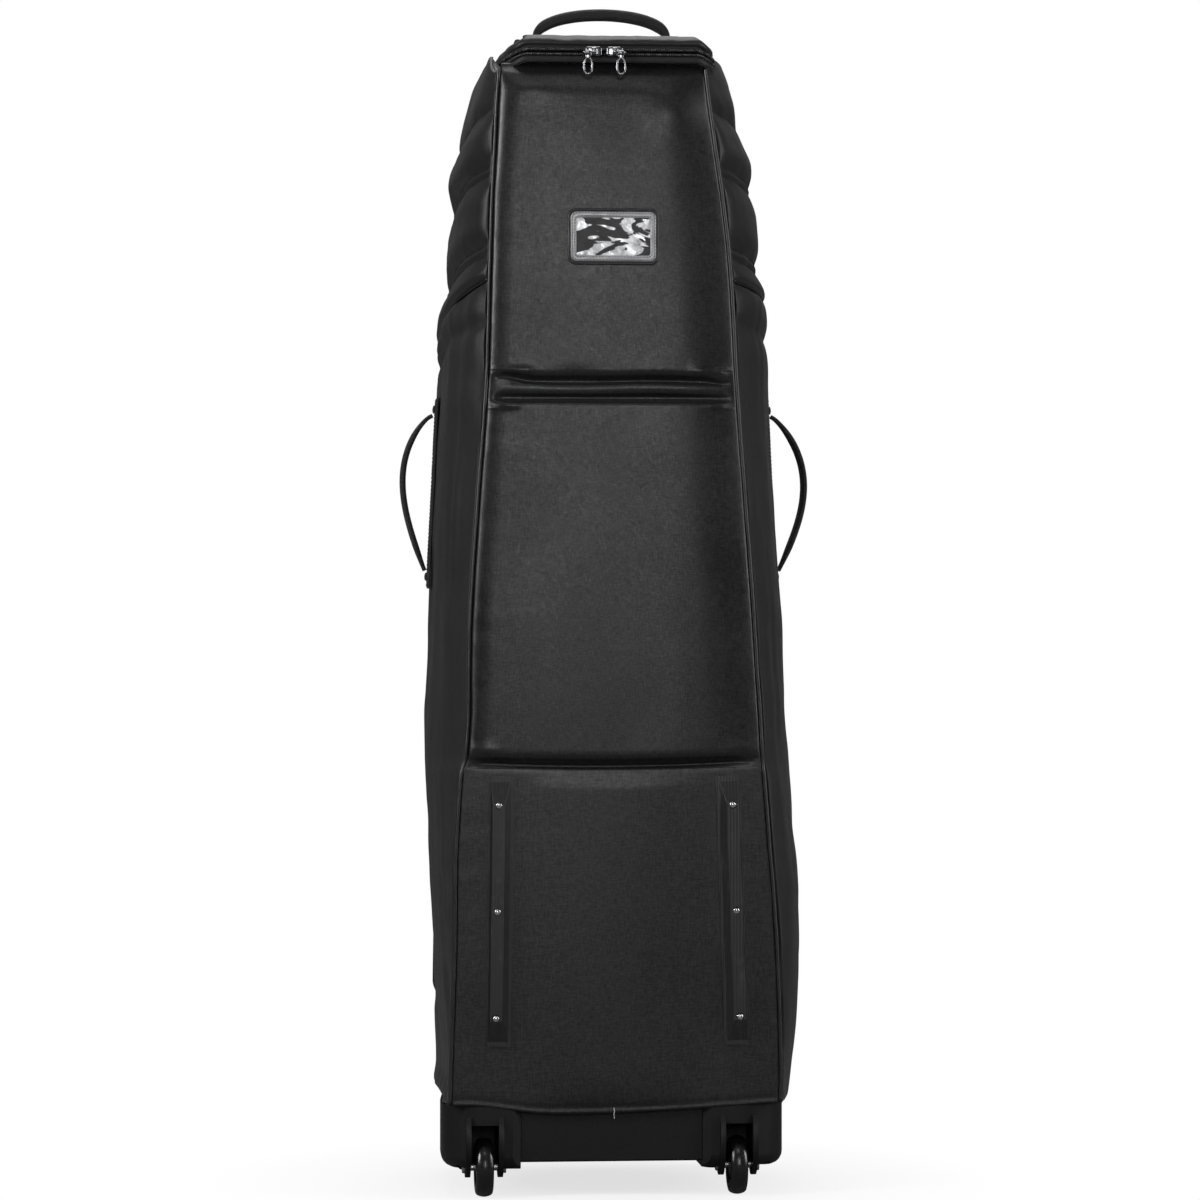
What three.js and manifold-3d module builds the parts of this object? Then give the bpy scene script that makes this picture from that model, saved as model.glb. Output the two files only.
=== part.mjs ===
// Golf travel case, standing upright on two wheels at the back and two feet at the front.
// Millimetres, +Z up, origin on the ground under the middle of the case.
// -Y is the back (skid rails and wheels), +Y the front (opening flap),
// +X is right as seen from the back.
import * as THREE from 'three';
import { mergeVertices } from 'three/addons/utils/BufferGeometryUtils.js';
import Module from 'manifold-3d';

const wasm = await Module();
wasm.setup();

// ---------------------------------------------------------------- driving dimensions
const BODY_BOTTOM_Z = 101;
const PANEL_TOP_Z = 1224;                       // top of the back panel
const BAND_BOTTOM_Z = 1226, BAND_TOP_Z = 1236.4; // gusset band under the zip
const CAP_BOTTOM_Z = 1247, CAP_TOP_Z = 1266;    // padded top of the flap
const CREASE_LOW_Z = 470, CREASE_HIGH_Z = 876;  // fold lines of the back panel
const HINGE_Z = 213.5;                          // fold line the front flap turns on
const HINGE_GAP = 1.5;                          // from the fold line to each front panel
const COVER_T = 5;                              // back cover, inward of its outline plane
const COVER_INSET = 2.8;
const BOARD_GAP = 0.5, BOARD_T = 4;             // stiffener boards inside the cover
const BOARD_INNER = COVER_T + BOARD_GAP + BOARD_T;
const SIDE_T = 7, PAD_T = 10, FRONT_T = 7;

const BASE_HALF_X = 187.5, BASE_BACK_Y = -149, BASE_FRONT_Y = 142, BASE_CORNER_R = 46;
const BASE_BOTTOM_Z = 37.6, BASE_TOP_Z = 99.5, BASE_WALL = 4, BASE_FLOOR_T = 9;
const BASE_ROUND = 14;                          // radius of the bottom edge
const BASE_MID_Y = (BASE_BACK_Y + BASE_FRONT_Y) / 2;
const PANEL_Y = BASE_BACK_Y + 6;                // base's back face between the housings
const HOUSING_X = 99, HOUSING_FRONT_Y = -72, HOUSING_BOTTOM_Z = 30.6, HOUSING_CHAMFER = 8.6;
const HOUSING_GAP = 0.5;
const WHEEL_R = 32, WHEEL_W = 19, WHEEL_X = 138.2, WHEEL_Y = -128, WHEEL_Z = WHEEL_R;
const WELL_W = 30, WELL_TOP_Z = 79, WELL_FRONT_Y = -90;
const EAR_T = 5.5;
const AXLE_R = 3.95, BORE_R = 4.05;
const FOOT_R = 14, FOOT_X = 139, FOOT_Y = 114;

const SIDES = [-1, 1];
const sideName = (side) => (side < 0 ? 'left' : 'right');
const { degToRad, smoothstep } = THREE.MathUtils;
const lerp = (start, end, share) => start + (end - start) * share;

// ---------------------------------------------------------------- body outline
// Monotone cubic through [position, value] pairs, carried straight on past both ends.
function smoothCurve(points) {
  const x = points.map((point) => point[0]);
  const y = points.map((point) => point[1]);
  const last = x.length - 1;
  const gap = x.slice(1).map((next, i) => next - x[i]);
  const slope = gap.map((length, i) => (y[i + 1] - y[i]) / length);
  const tangent = slope.map((after, i) => {
    if (i === 0) return after;
    const before = slope[i - 1];
    if (before * after <= 0) return 0;
    const weightBefore = 2 * gap[i] + gap[i - 1];
    const weightAfter = gap[i] + 2 * gap[i - 1];
    return (weightBefore + weightAfter) / (weightBefore / before + weightAfter / after);
  });
  tangent.push(slope[last - 1]);
  return (at) => {
    if (at <= x[0]) return y[0] + tangent[0] * (at - x[0]);
    if (at >= x[last]) return y[last] + tangent[last] * (at - x[last]);
    let i = 0;
    while (at > x[i + 1]) i++;
    const share = (at - x[i]) / gap[i];
    const square = share * share;
    const cube = square * share;
    return (2 * cube - 3 * square + 1) * y[i] + (cube - 2 * square + share) * gap[i] * tangent[i]
      + (-2 * cube + 3 * square) * y[i + 1] + (cube - square) * gap[i] * tangent[i + 1];
  };
}

// Each table: [height, value]
const backHalfWidth = smoothCurve([
  [100, 176.5], [252, 171.5], [336, 168.6], [440, 162.5], [543, 156.3], [660, 151],
  [764, 144], [888, 135.6], [988, 131.8], [1078, 126.1], [1135, 120.4], [1240, 111],
]);
const midHalfWidth = smoothCurve([ // half width at mid depth
  [100, 193], [143, 197], [188, 200.4], [233, 203.2], [322, 204.9], [411, 203.2],
  [501, 201], [590, 197.4], [680, 194], [769, 189.3], [880, 184], [947, 180.5],
  [1015, 174], [1060, 171], [1104, 167], [1148, 161], [1193, 150.5], [1215, 143.5],
  [1240, 131],
]);
const backY = smoothCurve([[100, -150], [1120, -150], [1180, -147], [1240, -139.5]]);
const frontY = smoothCurve([
  [100, 141], [260, 143], [700, 143], [980, 140], [1120, 131], [1200, 119], [1250, 106],
]);

const SIDE_BULGE_POWER = 2.6;
function sideX(z, y) {
  const depthShare = (y - backY(z)) / (frontY(z) - backY(z));
  const bulge = 1 - Math.pow(Math.abs(2 * depthShare - 1), SIDE_BULGE_POWER);
  return backHalfWidth(z) + (midHalfWidth(z) - backHalfWidth(z)) * bulge;
}

// ---------------------------------------------------------------- geometry helpers
// Indexed geometry whose triangles are turned to face outward.
function closedGeometry(positions, index) {
  const corners = [0, 1, 2].map(() => new THREE.Vector3());
  let volume = 0;
  for (let i = 0; i < index.length; i += 3) {
    corners.forEach((corner, k) => corner.fromArray(positions, index[i + k] * 3));
    volume += corners[0].dot(corners[1].cross(corners[2]));
  }
  if (volume < 0) {
    for (let i = 0; i < index.length; i += 3) {
      [index[i + 1], index[i + 2]] = [index[i + 2], index[i + 1]];
    }
  }
  const geometry = new THREE.BufferGeometry();
  geometry.setAttribute('position', new THREE.Float32BufferAttribute(positions, 3));
  geometry.setIndex(index);
  return geometry;
}

// Closed sheet between two surfaces, each a function of (across, up) in 0..1.
function sheet(columns, rows, outer, inner) {
  const positions = [];
  const index = [];
  const row = columns + 1;
  const layer = row * (rows + 1);
  const quad = (a, b, c, d) => index.push(a, b, c, a, c, d);
  for (const surface of [outer, inner]) {
    for (let j = 0; j <= rows; j++) {
      for (let i = 0; i <= columns; i++) positions.push(...surface(i / columns, j / rows));
    }
  }
  for (let j = 0; j < rows; j++) {
    for (let i = 0; i < columns; i++) {
      const a = j * row + i;
      quad(a, a + 1, a + row + 1, a + row);
      quad(layer + a, layer + a + row, layer + a + row + 1, layer + a + 1);
    }
  }
  const edge = [];
  for (let i = 0; i < columns; i++) edge.push(i);
  for (let j = 0; j < rows; j++) edge.push(j * row + columns);
  for (let i = columns; i > 0; i--) edge.push(rows * row + i);
  for (let j = rows; j > 0; j--) edge.push(j * row);
  edge.forEach((a, k) => {
    const next = edge[(k + 1) % edge.length];
    quad(next, a, layer + a, layer + next);
  });
  return closedGeometry(positions, index);
}

// Closed loft through rings of equal length; each end closes to its ring's mean point.
function loft(rings) {
  const positions = rings.flat(2);
  const index = [];
  const count = rings[0].length;
  const last = rings.length - 1;
  for (let j = 0; j < last; j++) {
    for (let i = 0; i < count; i++) {
      const a = j * count + i;
      const b = j * count + ((i + 1) % count);
      index.push(a, b, b + count, a, b + count, a + count);
    }
  }
  for (const j of [0, last]) {
    const centre = positions.length / 3;
    positions.push(...[0, 1, 2].map((k) => rings[j].reduce((sum, p) => sum + p[k], 0) / count));
    for (let i = 0; i < count; i++) {
      const a = j * count + i;
      const b = j * count + ((i + 1) % count);
      if (j === 0) index.push(b, a, centre);
      else index.push(a, b, centre);
    }
  }
  return closedGeometry(positions, index);
}

const vectors = (points) => points.map((point) => new THREE.Vector3(...point));
const tangentAt = (path, i) => new THREE.Vector3()
  .subVectors(path[Math.min(i + 1, path.length - 1)], path[Math.max(i - 1, 0)]).normalize();
const squareTo = (direction, tangent) => direction.clone()
  .addScaledVector(tangent, -direction.dot(tangent)).normalize();

// Round tube along a polyline.
function tube(points, radius, segments) {
  let across = new THREE.Vector3(0.3, 0.2, 1);
  const rings = vectors(points).map((point, i, path) => {
    const tangent = tangentAt(path, i);
    across = squareTo(across, tangent);
    const other = new THREE.Vector3().crossVectors(tangent, across);
    return Array.from({ length: segments }, (_, k) => {
      const angle = (2 * Math.PI * (k + 0.5)) / segments;
      return point.clone().addScaledVector(across, radius * Math.cos(angle))
        .addScaledVector(other, radius * Math.sin(angle)).toArray();
    });
  });
  return loft(rings);
}

// Strap section: [share of half width, share of half thickness]
const STRAP_SECTION = [
  [1, -0.4], [1, 0.4], [0.8, 1], [-0.8, 1], [-1, 0.4], [-1, -0.4], [-0.8, -1], [0.8, -1],
];
// Strap along points, its width along Y; the half sizes are functions of (point, share).
function strap(points, halfWidth, halfThickness) {
  const rings = vectors(points).map((point, i, path) => {
    const tangent = tangentAt(path, i);
    const widthwise = squareTo(new THREE.Vector3(0, 1, 0), tangent);
    const through = new THREE.Vector3().crossVectors(tangent, widthwise);
    const width = halfWidth(point, i / (path.length - 1));
    const thickness = halfThickness(point, i / (path.length - 1));
    return STRAP_SECTION.map(([a, b]) => point.clone().addScaledVector(widthwise, a * width)
      .addScaledVector(through, b * thickness).toArray());
  });
  return loft(rings);
}

function weld(geometry) {
  const bare = geometry.clone();
  bare.deleteAttribute('normal');
  bare.deleteAttribute('uv');
  return mergeVertices(bare, 1e-4);
}

// Welded copy without collapsed triangles, facing outward.
function outward(geometry) {
  const welded = weld(geometry);
  const raw = Array.from(welded.index.array);
  const index = [];
  for (let i = 0; i < raw.length; i += 3) {
    const triangle = raw.slice(i, i + 3);
    if (new Set(triangle).size === 3) index.push(...triangle);
  }
  return closedGeometry(Array.from(welded.attributes.position.array), index);
}
const mirrorX = (geometry) => outward(geometry.clone().scale(-1, 1, 1));

function solidOf(geometry) {
  const welded = weld(geometry);
  return new wasm.Manifold(new wasm.Mesh({
    numProp: 3,
    vertProperties: new Float32Array(welded.attributes.position.array),
    triVerts: new Uint32Array(welded.index.array),
  }));
}

function geometryOf(solid) {
  const mesh = solid.getMesh();
  const geometry = new THREE.BufferGeometry();
  const positions = new Float32Array(mesh.vertProperties);
  geometry.setAttribute('position', new THREE.BufferAttribute(positions, 3));
  geometry.setIndex(new THREE.BufferAttribute(new Uint32Array(mesh.triVerts), 1));
  return geometry;
}

// Boxes take [from, to] ranges along x, y and z.
const box = (...ranges) => new THREE.BoxGeometry(...ranges.map(([from, to]) => to - from))
  .translate(...ranges.map(([from, to]) => (from + to) / 2));
const block = (...ranges) => solidOf(box(...ranges));
const around = (middle, half) => [middle - half, middle + half];

// Solid rods along X and along Y
const rodX = (radius, [from, to], y, z, segments) => solidOf(
  new THREE.CylinderGeometry(radius, radius, to - from, segments)
    .rotateZ(Math.PI / 2).translate((from + to) / 2, y, z));
const rodY = (radius, x, [from, to], z, segments) => solidOf(
  new THREE.CylinderGeometry(radius, radius, to - from, segments)
    .translate(x, (from + to) / 2, z));

const flatPoints = (points) => points.map(([x, y]) => new THREE.Vector2(x, y));
const polygon = (points) => new THREE.Shape(flatPoints(points));
const extrude = (shape, depth) => new THREE.ExtrudeGeometry(shape, {
  depth, bevelEnabled: false,
});
// Plate standing in the XZ plane; y is its front face and it reaches back by its depth.
const plate = (shape, depth, x, y, z) => outward(
  extrude(shape, depth).rotateX(Math.PI / 2).translate(x, y, z));
// Turned profile of [radius, position along the axis] points
const turned = (profile, segments) => new THREE.LatheGeometry(flatPoints(profile), segments);

function roundedRect(halfX, halfY, radius, segments) {
  const path = new THREE.Shape();
  const x = halfX - radius;
  const y = halfY - radius;
  path.moveTo(x, -halfY);
  path.absarc(x, -y, radius, -Math.PI / 2, 0);
  path.absarc(x, y, radius, 0, Math.PI / 2);
  path.absarc(-x, y, radius, Math.PI / 2, Math.PI);
  path.absarc(-x, -y, radius, Math.PI, 1.5 * Math.PI);
  const isNew = (point, i, all) => i === 0 || point.distanceTo(all[i - 1]) > 1e-4;
  return new THREE.Shape(path.getPoints(segments).filter(isNew));
}

// ---------------------------------------------------------------- materials and groups
const material = (settings) => new THREE.MeshStandardMaterial(settings);
const materials = {
  cover: material({ color: 0x2b2b2d, roughness: 0.55 }),
  side: material({ color: 0x262627, roughness: 0.7 }),
  quilt: material({ color: 0x242425, roughness: 0.6 }),
  piping: material({ color: 0x1b1b1c, roughness: 0.3 }),
  webbing: material({ color: 0x111111, roughness: 0.8 }),
  plastic: material({ color: 0x1a1a1a, roughness: 0.45 }),
  rail: material({ color: 0x222223, roughness: 0.4 }),
  steel: material({ color: 0x8a8a8c, roughness: 0.3, metalness: 1 }),
  zipMetal: material({ color: 0x3c3c40, roughness: 0.2, metalness: 1 }),
  coil: material({ color: 0x151515, roughness: 0.4 }),
  tyre: material({ color: 0x0d0d0d, roughness: 0.35 }),
  hub: material({ color: 0x232324, roughness: 0.5 }),
  vinyl: material({ color: 0x9a9a9c, roughness: 0.35 }),
  window: material({ color: 0xe6e8ea, roughness: 0.08, transparent: true, opacity: 0.35 }),
  lining: material({ color: 0x38383a, roughness: 0.8 }),
  board: material({ color: 0x303032, roughness: 0.8 }),
  buckle: material({ color: 0x151515, roughness: 0.4 }),
};

const root = new THREE.Group();
const bodyGroup = new THREE.Group();
const flapGroup = new THREE.Group();
root.add(bodyGroup, flapGroup);

function add(name, shape, surface, parent = bodyGroup) {
  const geometry = shape instanceof wasm.Manifold ? geometryOf(shape) : shape;
  if (!geometry.getAttribute('normal')) geometry.computeVertexNormals();
  const mesh = new THREE.Mesh(geometry, surface);
  mesh.name = name;
  parent.add(mesh);
}

// ---------------------------------------------------------------- base, housings and feet
// Limits of the cutting blocks, beyond the base on every side
const CUT_X = 220, CUT_Y = -200, CUT_Z = 140;

const basePlan = (inset) => roundedRect(
  BASE_HALF_X - inset, (BASE_FRONT_Y - BASE_BACK_Y) / 2 - inset, BASE_CORNER_R - inset, 6);
const basePrism = (inset, bottom, top) => solidOf(
  extrude(basePlan(inset), top - bottom).translate(0, BASE_MID_Y, bottom));

// Block with the base's outline and a rounded bottom edge.
function roundedBase(bottom) {
  // the outline's last point is left out, which cuts the end of that corner's arc
  const ring = (inset, z) => basePlan(inset).getPoints().slice(0, -1)
    .map((point) => [point.x, point.y + BASE_MID_Y, z]);
  const rings = [];
  for (let k = 0; k <= 5; k++) {
    const angle = ((k / 5) * Math.PI) / 2;
    const inset = BASE_ROUND * (1 - Math.sin(angle));
    rings.push(ring(inset, bottom + BASE_ROUND * (1 - Math.cos(angle))));
  }
  rings.push(ring(0, BASE_TOP_Z));
  return solidOf(loft(rings));
}

// Everything behind frontY between the housings, and in one housing's corner
const middleCut = (halfWidth, front) => block(around(0, halfWidth), [CUT_Y, front], [0, CUT_Z]);
const cornerCut = (side, gap) => {
  const x = HOUSING_X - gap;
  const range = side > 0 ? [x, CUT_X] : [-CUT_X, -x];
  return block(range, [CUT_Y, HOUSING_FRONT_Y + gap], [0, CUT_Z]);
};

function baseTray() {
  const halfWidth = HOUSING_X - HOUSING_GAP;
  const cavity = basePrism(BASE_WALL, BASE_BOTTOM_Z + BASE_FLOOR_T, BASE_TOP_Z + 5)
    .subtract(middleCut(halfWidth, PANEL_Y + BASE_WALL));
  const tray = roundedBase(BASE_BOTTOM_Z).subtract(cavity)
    .subtract(middleCut(halfWidth, PANEL_Y));
  return SIDES.reduce((solid, side) => solid.subtract(cornerCut(side, HOUSING_GAP)), tray);
}

// Fork ear outline: [y, z]
const EAR_OUTLINE = [
  [-149, 88], [-153.5, 80], [-156.5, 68], [-156.5, 52], [-153, 41], [-140, 25.5],
  [-134, 22], [-128, 20.8], [-122, 22], [-116, 25.5], [-106, 41], [-104, 84],
];
function ear(x) {
  // shape x, y and depth become y, z and x
  const turn = new THREE.Matrix4().set(0, 0, 1, 0, 1, 0, 0, 0, 0, 1, 0, 0, 0, 0, 0, 1);
  return solidOf(outward(
    extrude(polygon(EAR_OUTLINE), EAR_T).applyMatrix4(turn).translate(x, 0, 0)));
}

// Right wheel housing: hollow corner moulding with the wheel well and two fork ears.
function wheelHousing() {
  const backEdge = polygon([
    [HOUSING_X - 1, BASE_BACK_Y - 60],
    [HOUSING_X + HOUSING_CHAMFER * 2, BASE_BACK_Y - 60],
    [HOUSING_X + HOUSING_CHAMFER, BASE_BACK_Y],
    [HOUSING_X, PANEL_Y],
    [HOUSING_X - 1, PANEL_Y],
  ]);
  const outer = roundedBase(HOUSING_BOTTOM_Z).subtract(solidOf(outward(extrude(backEdge, 200))));
  const corner = block([HOUSING_X, CUT_X], [CUT_Y, HOUSING_FRONT_Y], [0, BASE_TOP_Z]);
  const cavity = basePrism(BASE_WALL, HOUSING_BOTTOM_Z + BASE_FLOOR_T, BASE_TOP_Z + 5)
    .intersect(block([HOUSING_X + BASE_WALL, CUT_X],
      [CUT_Y, HOUSING_FRONT_Y - BASE_WALL], [0, CUT_Z]));
  const [wellLeft, wellRight] = around(WHEEL_X, WELL_W / 2);
  const earLeft = wellLeft - EAR_T;
  const earRight = wellRight + EAR_T;
  const wellWall = block([earLeft, earRight], [BASE_BACK_Y + 2, WELL_FRONT_Y + BASE_WALL],
    [HOUSING_BOTTOM_Z, WELL_TOP_Z + BASE_WALL]).intersect(outer);
  const headRoom = (range) => rodX(8.5, range, WHEEL_Y, WHEEL_Z, 16); // for the axle heads
  return outer.intersect(corner).subtract(cavity).add(wellWall)
    .add(ear(earLeft)).add(ear(wellRight))
    .subtract(block([wellLeft, wellRight], [CUT_Y, WELL_FRONT_Y], [-10, WELL_TOP_Z]))
    .subtract(rodX(BORE_R + 0.1, [wellLeft - 20, wellRight + 20], WHEEL_Y, WHEEL_Z, 16))
    .subtract(headRoom([earLeft - 12, earLeft]))
    .subtract(headRoom([earRight, earRight + 12]));
}

function floorPad() {
  return basePrism(8, BASE_BOTTOM_Z + 9.4, BASE_BOTTOM_Z + 19)
    .subtract(cornerCut(1, 4)).subtract(cornerCut(-1, 4))
    .subtract(middleCut(HOUSING_X, PANEL_Y + BASE_WALL + 1));
}

function foot(side) {
  const top = BASE_BOTTOM_Z - 0.4;
  const profile = [[0, 0], [FOOT_R - 3, 0], [FOOT_R, 3], [FOOT_R - 2.5, top], [0, top]];
  return outward(turned(profile, 20).rotateX(Math.PI / 2)).translate(side * FOOT_X, FOOT_Y, 0);
}

function addBase() {
  add('base_tray', baseTray(), materials.plastic);
  const housing = geometryOf(wheelHousing());
  add('wheel_housing_right', housing, materials.plastic);
  add('wheel_housing_left', mirrorX(housing), materials.plastic);
  add('floor_pad', floorPad(), materials.lining);
  for (const side of SIDES) add('foot_' + sideName(side), foot(side), materials.tyre);
}

// ---------------------------------------------------------------- wheels
// Closed rectangular profile of a ring turned about the wheel axis
const ringProfile = (inner, outer, half) => [
  [inner, -half], [outer, -half], [outer, half], [inner, half], [inner, -half],
];

function addWheel(side) {
  const half = WHEEL_W / 2;
  const grip = WELL_W / 2 + EAR_T; // outer face of an ear from the wheel's middle
  const tyre = [
    [20.4, -half + 0.8], [27.5, -half], [30, -half + 2.2], [31.5, -half + 5.5], [WHEEL_R, 0],
    [31.5, half - 5.5], [30, half - 2.2], [27.5, half], [20.4, half - 0.8],
    [20.4, -half + 0.8],
  ];
  const axle = [
    [0, -grip - 3.2], [6.4, -grip - 3.2], [6.8, -grip - 0.4], [AXLE_R, -grip - 0.4],
    [AXLE_R, grip + 0.4], [6.6, grip + 0.4], [6.6, grip + 3.6], [0, grip + 3.6],
  ];
  const parts = [
    ['tyre_', tyre, materials.tyre],
    ['hub_', ringProfile(11.2, 20, half - 1.2), materials.hub],
    ['bearing_', ringProfile(BORE_R + 0.05, 10.9, half - 1.6), materials.steel],
    ['axle_', axle, materials.steel],
  ];
  for (const [name, profile, surface] of parts) {
    const geometry = turned(profile, 28).rotateZ(-Math.PI / 2)
      .translate(side * WHEEL_X, WHEEL_Y, WHEEL_Z);
    add(name + sideName(side), outward(geometry), surface);
  }
}

// ---------------------------------------------------------------- skid rails and rivets
const RAIL = {
  length: 292, width: 26.6, flange: 2.2, height: 11,
  topWidth: 13.6, ridgeOffset: 3.8, // flat top of the ridge, and its shift outboard
  x: 127.9, y: -150.4, z: 310.5,
  splay: degToRad(1.1),
};
const RIVET_PITCH = 115;
const RIVET_STEPS = [[1, 'top'], [0, 'middle'], [-1, 'low']];

const rivets = SIDES.flatMap((side) => RIVET_STEPS.map(([step, name]) => {
  const along = step * RIVET_PITCH;
  const cos = Math.cos(RAIL.splay);
  const sin = Math.sin(RAIL.splay);
  return {
    name: `rail_rivet_${sideName(side)}_${name}`,
    x: side * (RAIL.x + RAIL.ridgeOffset * cos - along * sin),
    z: RAIL.z + RAIL.ridgeOffset * sin + along * cos,
  };
}));
const drilled = (geometry) => rivets.reduce(
  (solid, rivet) => solid.subtract(rodY(2.4, rivet.x, [-175, -120], rivet.z, 10)),
  solidOf(geometry));

// Ridge with sloping ends and sides: a unit box with its corners moved out.
function railRidge() {
  const ridge = box([-1, 1], [-1, 1], [-1, 1]);
  const corners = ridge.getAttribute('position');
  for (let i = 0; i < corners.count; i++) {
    const x = corners.getX(i);
    const z = corners.getZ(i);
    if (corners.getY(i) < 0) {
      const topX = RAIL.ridgeOffset + x * (RAIL.topWidth / 2);
      corners.setXYZ(i, topX, -RAIL.height, z * (RAIL.length / 2 - 28));
    } else {
      const footX = x > 0 ? RAIL.width / 2 - 1 : -RAIL.width / 2 + 3.2;
      corners.setXYZ(i, footX, -RAIL.flange + 0.5, z * (RAIL.length / 2 - 4));
    }
  }
  return solidOf(outward(ridge));
}

// Right rail: thin flange and raised ridge, counterbored for the rivets.
function skidRail() {
  const outline = roundedRect(RAIL.width / 2, RAIL.length / 2, 3, 2);
  let rail = solidOf(plate(outline, RAIL.flange, 0, 0, 0)).add(railRidge());
  for (const step of [-1, 0, 1]) {
    const z = step * RIVET_PITCH;
    rail = rail.subtract(rodY(2.3, RAIL.ridgeOffset, [-40, 20], z, 10))
      .subtract(rodY(4.2, RAIL.ridgeOffset, [-40, -RAIL.height + 2], z, 12));
  }
  return geometryOf(rail);
}

// Domed head in the counterbore, shank through rail, cover and board, washer inside.
function rivetGeometry() {
  const top = RAIL.y - RAIL.height;
  const tail = backY(RAIL.z) + BOARD_INNER + 0.3;
  return outward(turned([
    [0, top + 0.2], [2.2, top + 0.6], [3.5, top + 1.3], [3.7, top + 1.7], [1.95, top + 1.7],
    [1.95, tail], [4.6, tail], [4.2, tail + 1.3], [0, tail + 1.3],
  ], 10));
}

function addRails() {
  const rail = skidRail();
  for (const side of SIDES) {
    const pivot = new THREE.Group();
    pivot.position.set(side * RAIL.x, RAIL.y, RAIL.z);
    pivot.rotation.y = -side * RAIL.splay;
    bodyGroup.add(pivot);
    const geometry = side < 0 ? mirrorX(rail) : rail;
    add('skid_rail_' + sideName(side), geometry, materials.rail, pivot);
  }
  for (const { name, x, z } of rivets) {
    add(name, rivetGeometry().translate(x, 0, z), materials.steel);
  }
}

// ---------------------------------------------------------------- back cover and boards
// Heights of the cover's rows, close together at the folds
const COVER_ROWS_Z = [
  101, 140, 300, 448, 458, 464, 470, 476, 486, 525, 600, 680, 760, 825, 850, 861, 868,
  876, 884, 891, 903, 935, 1005, 1080, 1150, 1200, 1224,
];
const coverHalfWidth = (z) => backHalfWidth(z) - COVER_INSET;

// Padding of the cover beyond the back plane, with the fold lines pressed into it.
function coverCrown(x, z) {
  const edgeFade = Math.max(0, 1 - Math.pow(Math.abs(x) / coverHalfWidth(z), 2.4));
  const hump = (low, high) => (z > low && z < high
    ? 8 * Math.pow(Math.sin((Math.PI * (z - low)) / (high - low)), 0.55) : 0);
  const padding = hump(CREASE_HIGH_Z, PANEL_TOP_Z + 24) + hump(CREASE_LOW_Z, CREASE_HIGH_Z);
  let crown = padding * Math.pow(edgeFade, 0.6);
  for (const crease of [CREASE_LOW_Z, CREASE_HIGH_Z - 8.5, CREASE_HIGH_Z + 8.5]) {
    crown -= 2.4 * Math.exp(-Math.pow((z - crease) / 6, 2));
  }
  return crown;
}

function backCover() {
  const rows = COVER_ROWS_Z.length - 1;
  const surface = (depth) => (across, up) => {
    const z = COVER_ROWS_Z[Math.round(up * rows)];
    const x = -coverHalfWidth(z) * Math.cos(Math.PI * across);
    return [x, backY(z) + depth(x, z), z];
  };
  return sheet(8, rows, surface((x, z) => -coverCrown(x, z)), surface(() => COVER_T));
}

function board(bottom, top, rows) {
  const surface = (depth) => (across, up) => {
    const z = lerp(bottom, top, up);
    const halfWidth = backHalfWidth(z) - 12;
    return [lerp(-halfWidth, halfWidth, across), backY(z) + depth, z];
  };
  return sheet(1, rows, surface(COVER_T + BOARD_GAP), surface(BOARD_INNER));
}

function addBack() {
  add('back_cover', drilled(backCover()), materials.cover);
  add('stiffener_lower', drilled(board(104, CREASE_LOW_Z - 6, 1)), materials.board);
  add('stiffener_middle', board(CREASE_LOW_Z + 6, CREASE_HIGH_Z - 10, 1), materials.board);
  add('stiffener_upper', board(CREASE_HIGH_Z + 10, PANEL_TOP_Z - 6, 6), materials.board);
}

// ---------------------------------------------------------------- sides and lower front
const PIPING_R = 2;
const PIPING_Z = [
  104, 180, 252, 336, 440, 543, 660, 764, 888, 988, 1078, 1135, 1180, 1204, 1223,
];
// Top edge of the lower side panel, from back (0) to front (1)
const seamZ = (depthShare) => 994 - 62 * Math.pow(depthShare, 0.85);
const SEAM_GAP = 0.9;

// Plan point on the right side, moved in square to the surface by inset.
function sidePoint(z, depthShare, inset) {
  const y = lerp(backY(z) + 4.5, frontY(z) - 16, depthShare);
  const step = 0.5;
  const deltaX = sideX(z, y + step) - sideX(z, y - step);
  const length = Math.hypot(deltaX, 2 * step);
  return [sideX(z, y) - (inset * 2 * step) / length, y + (inset * deltaX) / length];
}

function sideSheet(side, rows, thickness, heightAt) {
  const surface = (inset) => (across, up) => {
    const depthShare = 0.5 - 0.5 * Math.cos(Math.PI * across);
    const z = heightAt(depthShare, up);
    const [x, y] = sidePoint(z, depthShare, inset);
    return [side * x, y, z];
  };
  return sheet(8, rows, surface(0), surface(thickness));
}

function addSide(side) {
  const name = sideName(side);
  const lowerZ = (depthShare, up) => lerp(BODY_BOTTOM_Z, seamZ(depthShare), up);
  const upperZ = (depthShare, up) => lerp(seamZ(depthShare) + SEAM_GAP, BAND_BOTTOM_Z - 1, up);
  const piping = PIPING_Z.map((z) => [side * backHalfWidth(z), backY(z) + 1.8, z]);
  add('side_panel_' + name, sideSheet(side, 10, SIDE_T, lowerZ), materials.side);
  add('quilted_pad_' + name, sideSheet(side, 7, PAD_T, upperZ), materials.quilt);
  add('piping_' + name, tube(piping, PIPING_R, 6), materials.piping);
}

function frontSheet(columns, rows, [bottom, top], halfWidthAt) {
  const surface = (depth) => (across, up) => {
    const z = lerp(bottom, top, up);
    const halfWidth = halfWidthAt(z);
    return [lerp(-halfWidth, halfWidth, across), frontY(z) - depth, z];
  };
  return sheet(columns, rows, surface(0), surface(FRONT_T));
}

function addFrontLowerPanel() {
  const range = [BODY_BOTTOM_Z, HINGE_Z - HINGE_GAP];
  const panel = frontSheet(4, 1, range, (z) => backHalfWidth(z) + 1);
  add('front_lower_panel', panel, materials.side);
}

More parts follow.
